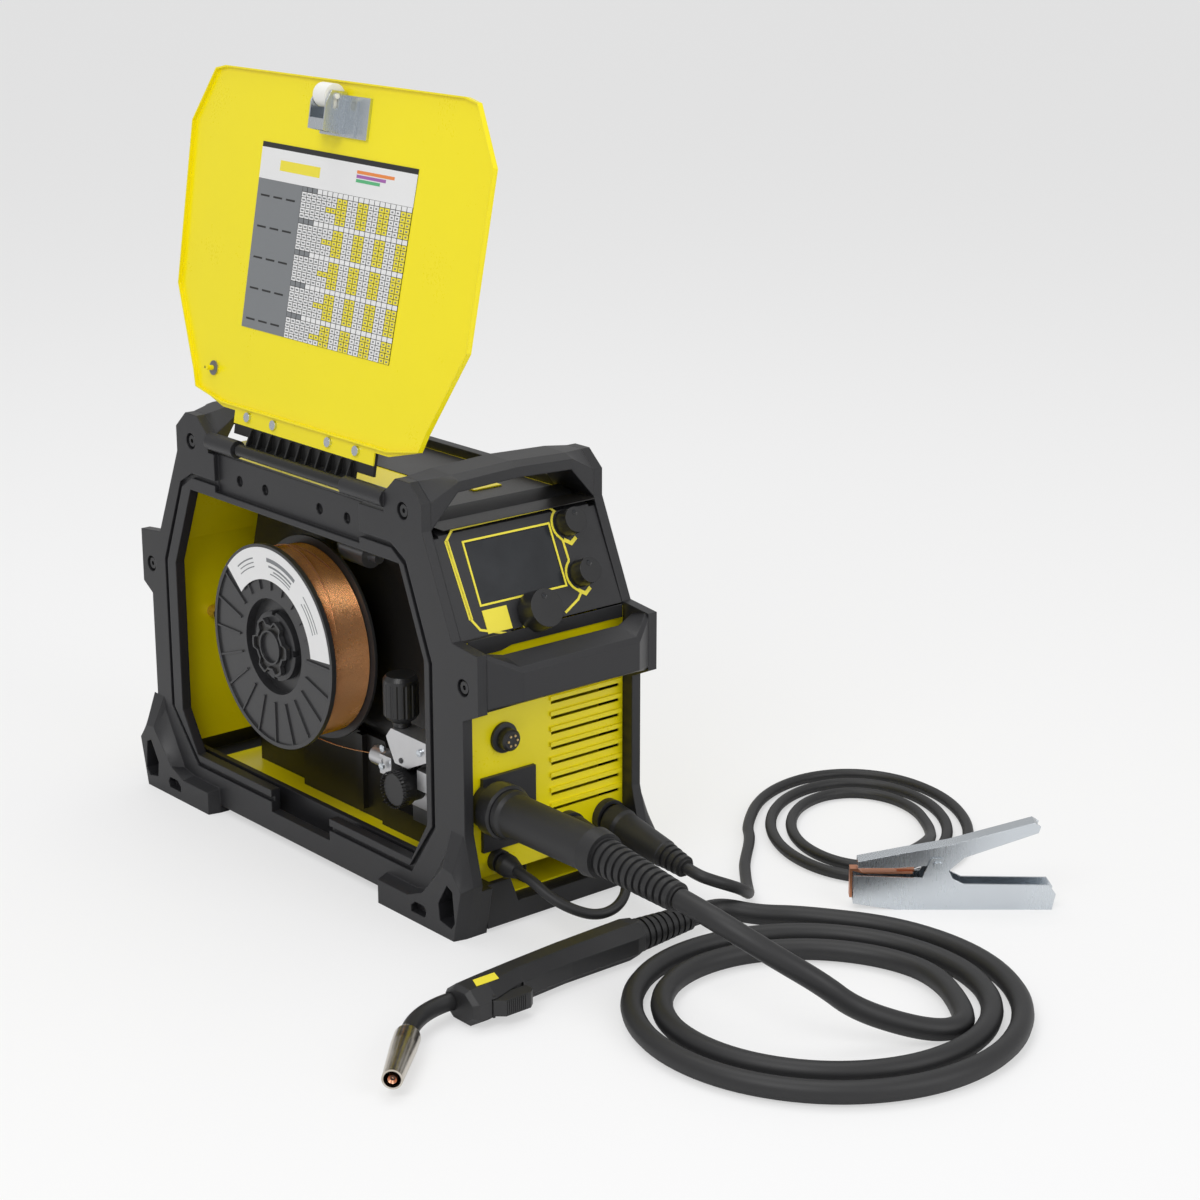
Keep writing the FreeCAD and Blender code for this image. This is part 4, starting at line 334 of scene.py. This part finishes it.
# %% Earth cable
EARTH_COIL = (350, -310)
earth_points = [
    (72, -358, 52), (72, -372.8, 49.7), (80, -384, 46), (95, -389, 39), (112, -387, 30),
    (130, -377, 18), (147, -361, 8), (163, -341, 6.1), (180, -321, 6.1),
    (197, -302, 6.1), (244, -261, 6.1),
]
earth_points += turns(EARTH_COIL, 2, -8, 111, 151, 20, 27, 6.1)
earth_points += [around(EARTH_COIL, *p) for p in
                 ((62, -28, 9), (57, -66, 20), (41, -115, 31), (24, -140, 34), (20, -159, 34))]
earth_cord = tube_through("earth_cord", earth_points, 5.5, *CORD)
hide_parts("earth_cable", "earth_cable_coil")
print("earth cable", len(earth_points), "points")

# %% [markdown]
# A short lead joins two sockets under the torch connector and chooses the wire's polarity. Its two
# ends are held, so it hangs in a loop.

# %% Polarity lead
lead_points = [
    (-57, -277.2, 57.8), (-57, -295.2, 56.4), (-53, -317, 45), (-42, -335, 36), (-26, -348, 30),
    (-7, -352, 32), (10, -347, 40), (21, -334, 50), (24, -315.1, 63.8), (24, -297.2, 65.2),
]
lead = tube_through("polarity_loop", lead_points, 4.8, *CORD)
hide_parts("polarity_lead")
print("polarity lead", len(lead_points), "points")


# %% [markdown]
# The welding wire is wound on the spool in fine turns, copper-coated, with a few strands that cross
# the layer. One helix gives the turns. The drum under it, in a later cell, closes the gaps.

# %% Wire winding
SPOOL_Y, SPOOL_Z = 48, 195
WOUND, FIRST_X, LAST_X = 92.5, -89.0, -47.0
TURN_COUNT, TURN_POINTS = 42, 24
STRAND_STEPS, STRAND_REACH = 14, 94.3
bulge = 1 / math.cos(math.pi / TURN_POINTS)
wound_points = []
for step in range(TURN_COUNT * TURN_POINTS + 1):
    angle = math.tau * step / TURN_POINTS
    along = FIRST_X + (LAST_X - FIRST_X) * step / (TURN_COUNT * TURN_POINTS)
    wound_points.append((along, SPOOL_Y + WOUND * bulge * math.cos(angle),
                         SPOOL_Z + WOUND * bulge * math.sin(angle)))
winding = tube_through("wound_wire", wound_points, 0.52, "wire", "wire_spool", "copper_wire", 1, 3)
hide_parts("wire_winding")
for number, (first, last, slant) in enumerate(((20, 150, 26), (60, 175, -22), (100, 210, 17))):
    strand = []
    for step in range(STRAND_STEPS + 1):
        angle = math.radians(first + (last - first) * step / STRAND_STEPS)
        along = -68 + slant * (step / STRAND_STEPS - 0.5)
        strand.append((along, SPOOL_Y - STRAND_REACH * math.cos(angle),
                       SPOOL_Z + STRAND_REACH * math.sin(angle)))
    tube_through(f"crossing_wire_{number}", strand, 0.5, "wire", "wire_spool", "copper_wire", 1, 4)
print(TURN_COUNT, "turns of wire")


# %% [markdown]
# Lathe work: a round primitive is placed, and its end face may be inset and pushed. A helper adds a
# cylinder along any direction, so the winding's drum, dishes and caps are all made the same way.

# %% Modelling tools
def settle(obj, name, look, body, smooth=True):
    """Put a piece's place in its mesh, name it, finish it and let it ride on its body."""
    bpy.ops.object.select_all(action="DESELECT")
    obj.select_set(True)
    bpy.context.view_layer.objects.active = obj
    bpy.ops.object.transform_apply(location=True, rotation=True, scale=True)
    if smooth:
        bpy.ops.object.shade_smooth_by_angle(angle=math.radians(35))
    obj.name = obj.data.name = name
    obj.data.materials.clear()
    obj.data.materials.append(finish[look])
    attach(obj, body)
    return obj


def add_round(centre, aim, radius, depth, sides=48):
    """A cylinder whose middle is at centre and whose axis points along aim, in millimetres."""
    bpy.ops.object.select_all(action="DESELECT")
    bpy.ops.mesh.primitive_cylinder_add(vertices=sides, radius=radius * MM, depth=depth * MM,
                                        location=[c * MM for c in centre])
    made = bpy.context.object
    made.rotation_mode = "QUATERNION"
    made.rotation_quaternion = Vector(aim).to_track_quat("Z", "Y")
    return made


def edit_top(obj, inset, push):
    """Inset a cylinder's top face and push it along its normal."""
    bpy.ops.object.mode_set(mode="EDIT")
    bpy.ops.mesh.select_all(action="DESELECT")
    bpy.ops.object.mode_set(mode="OBJECT")
    top = max(obj.data.polygons, key=lambda face: face.center.z)
    top.select = True
    bpy.ops.object.mode_set(mode="EDIT")
    bpy.ops.mesh.select_mode(type="FACE")
    bpy.ops.mesh.inset(thickness=inset * MM)
    bpy.ops.transform.translate(value=(0, 0, push * MM), orient_type="LOCAL")
    bpy.ops.object.mode_set(mode="OBJECT")


drum = add_round((-67.9, SPOOL_Y, SPOOL_Z), (1, 0, 0), 92.1, 42.6, 128)
bpy.ops.object.mode_set(mode="EDIT")
bpy.ops.mesh.select_mode(type="FACE")
bpy.ops.mesh.select_all(action="DESELECT")
bpy.ops.object.mode_set(mode="OBJECT")
for face in drum.data.polygons:
    face.select = len(face.vertices) > 4
bpy.ops.object.mode_set(mode="EDIT")
bpy.ops.mesh.delete(type="FACE")
bpy.ops.object.mode_set(mode="OBJECT")
drum_wall = drum.modifiers.new("wall", "SOLIDIFY")
drum_wall.thickness = 6 * MM
bpy.ops.object.modifier_apply(modifier="wall")
settle(drum, "wound_core", "wire", "wire_spool")
print("modelling tools and drum ready")


# %% [markdown]
# Flat work: outlines, plates and labels are thin sheets on a sloping face. Each is a ring of corners
# that becomes one face, gets a thickness from Solidify, and lies just proud of the part under it.

# %% Flat pieces
def flat_piece(name, loops, to_world, thick, look, body):
    """Thin plates: each loop of (a, b) corners is a face, placed by to_world and given a wall."""
    corners, faces = [], []
    for loop in loops:
        faces.append(tuple(range(len(corners), len(corners) + len(loop))))
        corners += [tuple(c * MM for c in to_world(a, b)) for a, b in loop]
    mesh = bpy.data.meshes.new(name)
    mesh.from_pydata(corners, [], faces)
    made = bpy.data.objects.new(name, mesh)
    bpy.context.scene.collection.objects.link(made)
    wall = made.modifiers.new("wall", "SOLIDIFY")
    wall.thickness = thick * MM
    wall.offset = 0
    bpy.ops.object.select_all(action="DESELECT")
    made.select_set(True)
    bpy.context.view_layer.objects.active = made
    bpy.ops.object.modifier_apply(modifier="wall")
    bpy.ops.object.mode_set(mode="EDIT")
    bpy.ops.mesh.select_all(action="SELECT")
    bpy.ops.mesh.normals_make_consistent(inside=False)
    bpy.ops.object.mode_set(mode="OBJECT")
    return settle(made, name, look, body, smooth=False)


def band(points, width, closed=False):
    """Quads of a line of that width through the points, mitred at each corner."""
    places = [Vector(p) for p in points]
    count = len(places)
    sides = []
    for i, place in enumerate(places):
        before = places[i - 1] if closed or i else None
        after = places[(i + 1) % count] if closed or i < count - 1 else None
        ahead = (after - place).normalized() if after is not None else None
        behind = (place - before).normalized() if before is not None else None
        ahead = ahead if ahead is not None else behind
        behind = behind if behind is not None else ahead
        normal_a, normal_b = Vector((-behind.y, behind.x)), Vector((-ahead.y, ahead.x))
        middle = (normal_a + normal_b).normalized()
        reach = width / 2 / max(0.4, middle.dot(normal_a))
        sides.append((place + middle * reach, place - middle * reach))
    quads = []
    for i in range(count if closed else count - 1):
        (a, b), (c, d) = sides[i], sides[(i + 1) % count]
        quads.append([tuple(a), tuple(c), tuple(d), tuple(b)])
    return quads


LEAN = math.radians(25.2)


def on_panel(across, drop, proud=0.0):
    """A place on the sloping panel, by its distance down the slope from the top edge."""
    return (across, -206 - drop * math.sin(LEAN) - proud * math.cos(LEAN),
            356 - drop * math.cos(LEAN) + proud * math.sin(LEAN))


def arc(centre, radius, first, last, steps=10):
    return [(centre[0] + radius * math.cos(math.radians(first + (last - first) * i / steps)),
             centre[1] + radius * math.sin(math.radians(first + (last - first) * i / steps)))
            for i in range(steps + 1)]


outline = [(-75.5, 77.5), (-78, 5.5), (-69, -3), (41, -4), (45.5, 0)]
outline += arc((54.5, 13), 16, -125, -225, 8)[1:]
outline += [(45.5, 27), (46, 45)] + arc((54.5, 60), 16, -125, -235, 8) + [(50, 76), (44, 82), (26, 91)]
left_run = [(-75.5, 77.5), (-69, 88), (-34, 99), (-22, 96), (-22, 76), (-17, 74)]
left_edge = [(-78, 5.5), (-75.5, 77.5)]
flat_piece("panel_outline", band(outline, 2.2) + band(left_run, 2.2) + band(left_edge, 4.2),
           lambda a, b: on_panel(a, b, 0.2), 0.5, "yellow_ink", "machine")
frame_line = [(-61.5, 9.5), (35.5, 9.5), (35.5, 67.5), (-61.5, 67.5)]
flat_piece("window_outline", band(frame_line, 1.8, True), lambda a, b: on_panel(a, b, 0.25), 0.5,
           "yellow_ink", "machine")
flat_piece("blank_plate", [[(-62, 72), (-35, 72), (-35, 93), (-62, 93)]],
           lambda a, b: on_panel(a, b, 0.35), 0.6, "yellow_ink", "machine")
for name, drop in (("upper", 28), ("middle", 75)):
    flat_piece(f"{name}_chevron", band([(47, drop - 1), (54, drop + 3.5), (61, drop - 1)], 3.6),
               lambda a, b: on_panel(a, b, 0.25), 0.5, "yellow_ink", "machine")
print("panel outlines on")

# %% [markdown]
# Each knob has a small dished thumb mark near its rim. A dish is a low cylinder whose top is inset and
# pushed down, set on the knob's face.

# %% Knob dishes
OUT = (0, -math.cos(LEAN), math.sin(LEAN))
for name, across, drop, tall, off in (("upper", 54.5, 13, 16, 6.5), ("middle", 54.5, 60, 16, 6.5),
                                      ("main", -7, 84, 20, 11)):
    dish = add_round(on_panel(across, drop - off, tall + 0.15), OUT, 2.6, 0.8, 32)
    edit_top(dish, 0.5, -0.5)
    settle(dish, f"{name}_dish", "window", f"{name}_knob")
print("three dishes")

# %% [markdown]
# The chart inside the door is a printed sheet: a black heading, a grey block on the left, and a table
# of white and yellow boxes. It is one grid whose faces take their ink by row and column, and it says
# nothing: every box is blank or holds a short bar where a number would be.

# %% Door chart
TILT = math.radians(10)


def on_door(along, up, proud):
    return (-98 + proud * math.cos(TILT) + up * math.sin(TILT), along,
            381 - proud * math.sin(TILT) + up * math.cos(TILT))


BACKING, INK, MARKS = 7.95, 7.72, 7.6
COLUMNS, ROWS = 30, 36
CHART = ((114, 288), (-129, 286), (-119, 113), (117, 114))


def chart_place(column, row):
    """A corner of the grid, between the chart's four corners."""
    u, v = column / COLUMNS, row / ROWS
    a, b, c, d = CHART
    top = (a[0] + (b[0] - a[0]) * u, a[1] + (b[1] - a[1]) * u)
    low = (d[0] + (c[0] - d[0]) * u, d[1] + (c[1] - d[1]) * u)
    return top[0] + (low[0] - top[0]) * v, top[1] + (low[1] - top[1]) * v


def chart_box(first, last, top, low):
    return [chart_place(first, top), chart_place(last, top),
            chart_place(last, low), chart_place(first, low)]


def chart_ink(column, row):
    if row == 0:
        return "black_ink"
    if row < 7:
        return "yellow_ink" if row in (3, 4) and 3 < column < 12 else "paper"
    if column < 9:
        return "grey_ink"
    block = (row - 8) % 6
    if block == 5:
        return "grey_ink" if column < 12 else "paper"
    if column < 14:
        return "paper"
    return "yellow_ink" if (column // 2) % 2 == 0 or column < 16 and block == 2 else "paper"


groups = {}
for row in range(ROWS):
    for column in range(COLUMNS):
        gap = 0.06 if column >= 9 and row >= 7 else 0.0
        corners = chart_box(column + gap, column + 1 - gap, row + gap, row + 1 - gap)
        groups.setdefault(chart_ink(column, row), []).append(corners)
flat_piece("chart_backing", [chart_box(0, COLUMNS, 0, ROWS)],
           lambda a, b: on_door(a, b, BACKING), 0.3, "black_ink", "door")
for ink, loops in groups.items():
    flat_piece(f"chart_{ink}", loops, lambda a, b: on_door(a, b, INK), 0.1, ink, "door")
marks = []
for row in range(8, ROWS):
    if (row - 8) % 6 == 5:
        continue
    for column in range(9, COLUMNS):
        wide = 0.24 if column < 14 else 0.32
        marks.append(chart_box(column + wide, column + 1 - wide, row + 0.36, row + 0.66))
flat_piece("chart_marks", marks, lambda a, b: on_door(a, b, MARKS), 0.08, "grey_ink",
           "door")
pale = [chart_box(c + 0.2, c + 2, r, r + 0.35) for r in range(10, ROWS, 6) for c in (0.6, 3.2, 5.8)]
flat_piece("chart_pale_marks", pale, lambda a, b: on_door(a, b, MARKS),
           0.08, "black_ink", "door")
for ink, row, reach in (("orange_ink", 2.2, 26), ("purple_ink", 3.0, 24.5), ("green_ink", 3.8, 23.5)):
    flat_piece(f"chart_{ink}_bar", [chart_box(19, reach, row, row + 0.6)],
               lambda a, b: on_door(a, b, MARKS), 0.08, ink, "door")
print(ROWS * COLUMNS, "boxes in the chart")


# %% [markdown]
# The spool carries a white paper label round the upper part of its outer flange. It is a sector of a
# ring, with plain grey bars where the print would be.

# %% Spool label
def on_spool(angle, radius, proud=0.0):
    turn = math.radians(angle)
    return (-95.0 - proud, SPOOL_Y - radius * math.cos(turn), SPOOL_Z + radius * math.sin(turn))


def sector(first, last, inner, outer, steps):
    """Loops of (angle, radius) corners that fill a part of a ring."""
    loops = []
    for step in range(steps):
        a = first + (last - first) * step / steps
        b = first + (last - first) * (step + 1) / steps
        loops.append([(a, inner), (b, inner), (b, outer), (a, outer)])
    return loops


flat_piece("spool_label", sector(4, 138, 66, 97, 40), lambda a, b: on_spool(a, b, 0.25), 0.4, "paper",
           "wire_spool")
bars = []
for first, last, inner, outer in (
        (60, 92, 84, 88), (62, 90, 79, 81), (62, 84, 75.5, 77), (62, 88, 72.5, 73.6),
        (22, 48, 84, 85.2), (22, 44, 80, 81.2), (22, 46, 76, 77.2),
        (108, 128, 86, 87.4), (108, 126, 82, 83), (108, 128, 78, 79)):
    bars += sector(first, last, inner, outer, 8)
flat_piece("spool_label_bars", bars, lambda a, b: on_spool(a, b, 0.5), 0.12, "grey_ink", "wire_spool")
print("spool label on")

# %% [markdown]
# The hub's locking nut is a six-lobed ring round a hollow stub. Its outline is a circle whose radius
# swells at each lobe. Rings of quads make the nut and the stub. The thin ring between them is darker
# than the nut, as painted shade in the recess.

# %% Hub nut
HUB_FACE = -95.6


def lobed(radius, swell, count=96):
    """Corners of a round outline with six raised lobes, flat-topped like a moulded nut."""
    corners = []
    for step in range(count):
        angle = math.tau * step / count
        lift = max(-1.0, min(1.0, 2.4 * math.cos(6 * angle)))
        reach = radius + swell * lift
        corners.append((math.cos(angle) * reach, math.sin(angle) * reach))
    return corners


def ring_of(outer, inner):
    count = len(outer)
    return [[outer[i], outer[(i + 1) % count], inner[(i + 1) % count], inner[i]] for i in range(count)]


def on_hub(a, b, depth=0.0):
    return HUB_FACE + depth, SPOOL_Y - a, SPOOL_Z + b


bore = lobed(15, 0)
stub = [(x * 1.13, y * 1.13) for x, y in bore]
flat_piece("hub_nut", ring_of(lobed(26, 3), lobed(23.4, 3)) + ring_of(stub, bore),
           on_hub, 5, "spool", "machine")
# Painted shade: the recess floor takes a darker black than the nut's rim and the stub around it.
flat_piece("hub_recess_shade", ring_of(lobed(23.4, 3), stub), lambda a, b: on_hub(a, b, 0.4),
           0.6, "inner", "machine")
print("hub nut on")

# %% [markdown]
# The wire leaves the bottom of the spool and runs to the feeder's inlet in a shallow curve.

# %% Feed wire
feed_points = [(-68, 20, 106), (-66, 0, 104.8), (-65, -30, 107), (-64.2, -58, 111), (-64, -74, 114)]
tube_through("feed_wire", feed_points, 0.5, "wire", "machine", "copper_wire", 2, 8)

# %% [markdown]
# The clamp's spring is wound from round wire about its rivet, with a leg to each handle.

# %% Clamp spring
CURLS, CURL_POINTS, CURL_RADIUS, CURL_PITCH = 4, 16, 6.6, 2.3
spring_places = [(54.6, -185, 35), (54.6, -184.8, 39)]
for step in range(CURLS * CURL_POINTS + 1):
    angle = math.tau * step / CURL_POINTS
    spring_places.append((48 + CURL_RADIUS * math.cos(angle),
                          -184.6 + CURL_PITCH * step / CURL_POINTS,
                          43 + CURL_RADIUS * math.sin(angle)))
spring_places += [(54.6, -175.2, 47), (54.6, -175, 51)]
spring_points = [around(EARTH_COIL, *place) for place in spring_places]
spring = tube_through("wound_spring", spring_points, 0.95, "zinc", "machine", "steel", 2, 3)
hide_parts("clamp_spring")
print("feed wire and spring on")

# %% [markdown]
# Small things that the eye expects: the socket's pins, the stay's pin on the door, the torch's copper
# tip and plain yellow patch, dark covers on the roof, ribs on the trigger and the roll's cap, and the
# feeder's screws.

# %% Small parts
pins = []
for number in range(6):
    angle = math.tau * number / 6
    place = (-48 + 5 * math.cos(angle), -261.2, 174 + 5 * math.sin(angle))
    pins.append(add_round(place, (0, -1, 0), 1.1, 1.4, 16))
for pin in pins[1:]:
    pin.select_set(True)
pins[0].select_set(True)
bpy.context.view_layer.objects.active = pins[0]
bpy.ops.object.join()
settle(bpy.context.object, "socket_pins", "brass", "machine")
stay = add_round(on_door(155, 68, 7.2), (-math.cos(TILT), 0, math.sin(TILT)), 7, 2.2, 40)
edit_top(stay, 2, 0.8)
settle(stay, "door_stay_washer", "motor", "door")
stay_pin = add_round(on_door(157, 68, 2.5), (-math.cos(TILT), 0, math.sin(TILT)), 1.6, 8, 20)
edit_top(stay_pin, 0.5, 0.3)
settle(stay_pin, "door_stay_pin", "black_steel", "door")
tip = add_round((-326.2, -458.9, 17), (-0.713, -0.701, 0), 3.65, 12, 32)
edit_top(tip, 2.6, -3)
settle(tip, "copper_tip", "tip", "machine")
patch = [(-194, -389), (-171.5, -389), (-175.5, -400.5), (-199, -400.5)]
flat_piece("handle_patch", [patch], lambda a, b: (a, b, 33.75), 0.4, "yellow_ink", "machine")
lower_edge = [(-88, 271), (88, 271), (88, 259), (-40, 259), (-52, 256), (-88, 256)]
flat_piece("fascia_apron", [lower_edge], lambda a, b: (a, -250.3, b), 1.2, "fascia", "machine")
for name, cover in (("front", [(-84, -212), (89, -212), (89, -112), (-84, -112)]),
                    ("side", [(10, -112), (89, -112), (89, 100), (10, 100)])):
    flat_piece(f"roof_{name}_cover", [cover], lambda a, b: (a, b, 361.9), 0.7,
               "inner", "machine")
flat_piece("roof_tab", [[(20, -122), (52, -122), (52, -114), (20, -114)]],
           lambda a, b: (a, b, 363), 1.2, "yellow", "machine")
rib_places = [-190 + 2.1 * i for i in range(3, 13)]
grips = [[(x, 10.5), (x + 1, 10.5), (x + 1, 23.5), (x, 23.5)] for x in rib_places]
flat_piece("trigger_ribs", grips, lambda a, b: (a, -422.1, b), 0.9, "grip", "trigger")
cap_ribs = []
for number in range(30):
    angle = math.tau * number / 30
    place = (-82, -130 + 17.1 * math.cos(angle), 98.85 + 17.1 * math.sin(angle))
    rib = add_round(place, (1, 0, 0), 0.7, 9, 8)
    edit_top(rib, 0.2, 0.1)
    cap_ribs.append(rib)
for rib in cap_ribs:
    rib.select_set(True)
bpy.ops.object.join()
settle(bpy.context.object, "roll_cap_ribs", "knob", "lower_roll")
for number, (along, high) in enumerate(((-160, 141), (-103, 130), (-101, 112), (-176, 142))):
    head = add_round((-76.2, along, high), (-1, 0, 0), 3.4, 2.2, 24)
    edit_top(head, 1.4, -0.8)
    settle(head, f"feeder_screw_{number}", "zinc", "machine")
print("small parts on")

# %% [markdown]
# The floor is a wide plain pale sheet. Large soft lamps above, in front and to the left give the broad
# highlights, and a white surround is seen by the camera and by shiny parts.

# %% Floor and light
bpy.ops.object.select_all(action="DESELECT")
bpy.ops.mesh.primitive_plane_add(size=60, location=(0, 0, 0))
floor = bpy.context.object
floor.name = "studio_floor"
bpy.ops.object.mode_set(mode="EDIT")
bpy.ops.mesh.subdivide(number_cuts=3)
bpy.ops.object.mode_set(mode="OBJECT")
floor_paint = Recipe("studio_floor", (0.84, 0.84, 0.845), 0.65)
glow = floor_paint.node("ShaderNodeEmission", {}, {"Color": (0.985, 0.985, 0.985, 1)})
rays = floor_paint.node("ShaderNodeLightPath", {}, {})
seen_share = Value(floor_paint, rays.outputs["Is Camera Ray"]) * 0.55
mixed = floor_paint.node("ShaderNodeMixShader", {}, {0: seen_share})
floor_paint.tree.links.new(floor_paint.shader.outputs[0], mixed.inputs[1])
floor_paint.tree.links.new(glow.outputs[0], mixed.inputs[2])
floor_paint.tree.links.new(mixed.outputs[0], floor_paint.tree.nodes["Material Output"].inputs[0])
floor.data.materials.append(floor_paint.material)

world = bpy.data.worlds.new("studio")
bpy.context.scene.world = world
world.use_nodes = True
sky = world.node_tree.nodes["Background"]
sky.inputs[0].default_value = (1, 1, 1, 1)
path = world.node_tree.nodes.new("ShaderNodeLightPath")
seen = world.node_tree.nodes.new("ShaderNodeMath")
seen.operation = "MULTIPLY_ADD"
world.node_tree.links.new(path.outputs["Is Camera Ray"], seen.inputs[0])
seen.inputs[1].default_value = 0.45
seen.inputs[2].default_value = 0.55
world.node_tree.links.new(seen.outputs[0], sky.inputs[1])


def lamp(name, place, target, power, size):
    light = bpy.data.lights.new(name, "AREA")
    light.energy = power
    light.size = size
    made = bpy.data.objects.new(name, light)
    made.location = place
    made.rotation_mode = "QUATERNION"
    made.rotation_quaternion = (Vector(target) - Vector(place)).to_track_quat("-Z", "Y")
    bpy.context.scene.collection.objects.link(made)


lamp("key", (-2.2, -1.2, 2.6), (0, -0.1, 0.2), 38, 1.6)
lamp("front", (0.6, -3.0, 1.6), (0, -0.2, 0.2), 22, 1.8)
lamp("top", (0.3, 0.4, 3.0), (0, 0, 0.2), 26, 2.0)
print("studio lit")
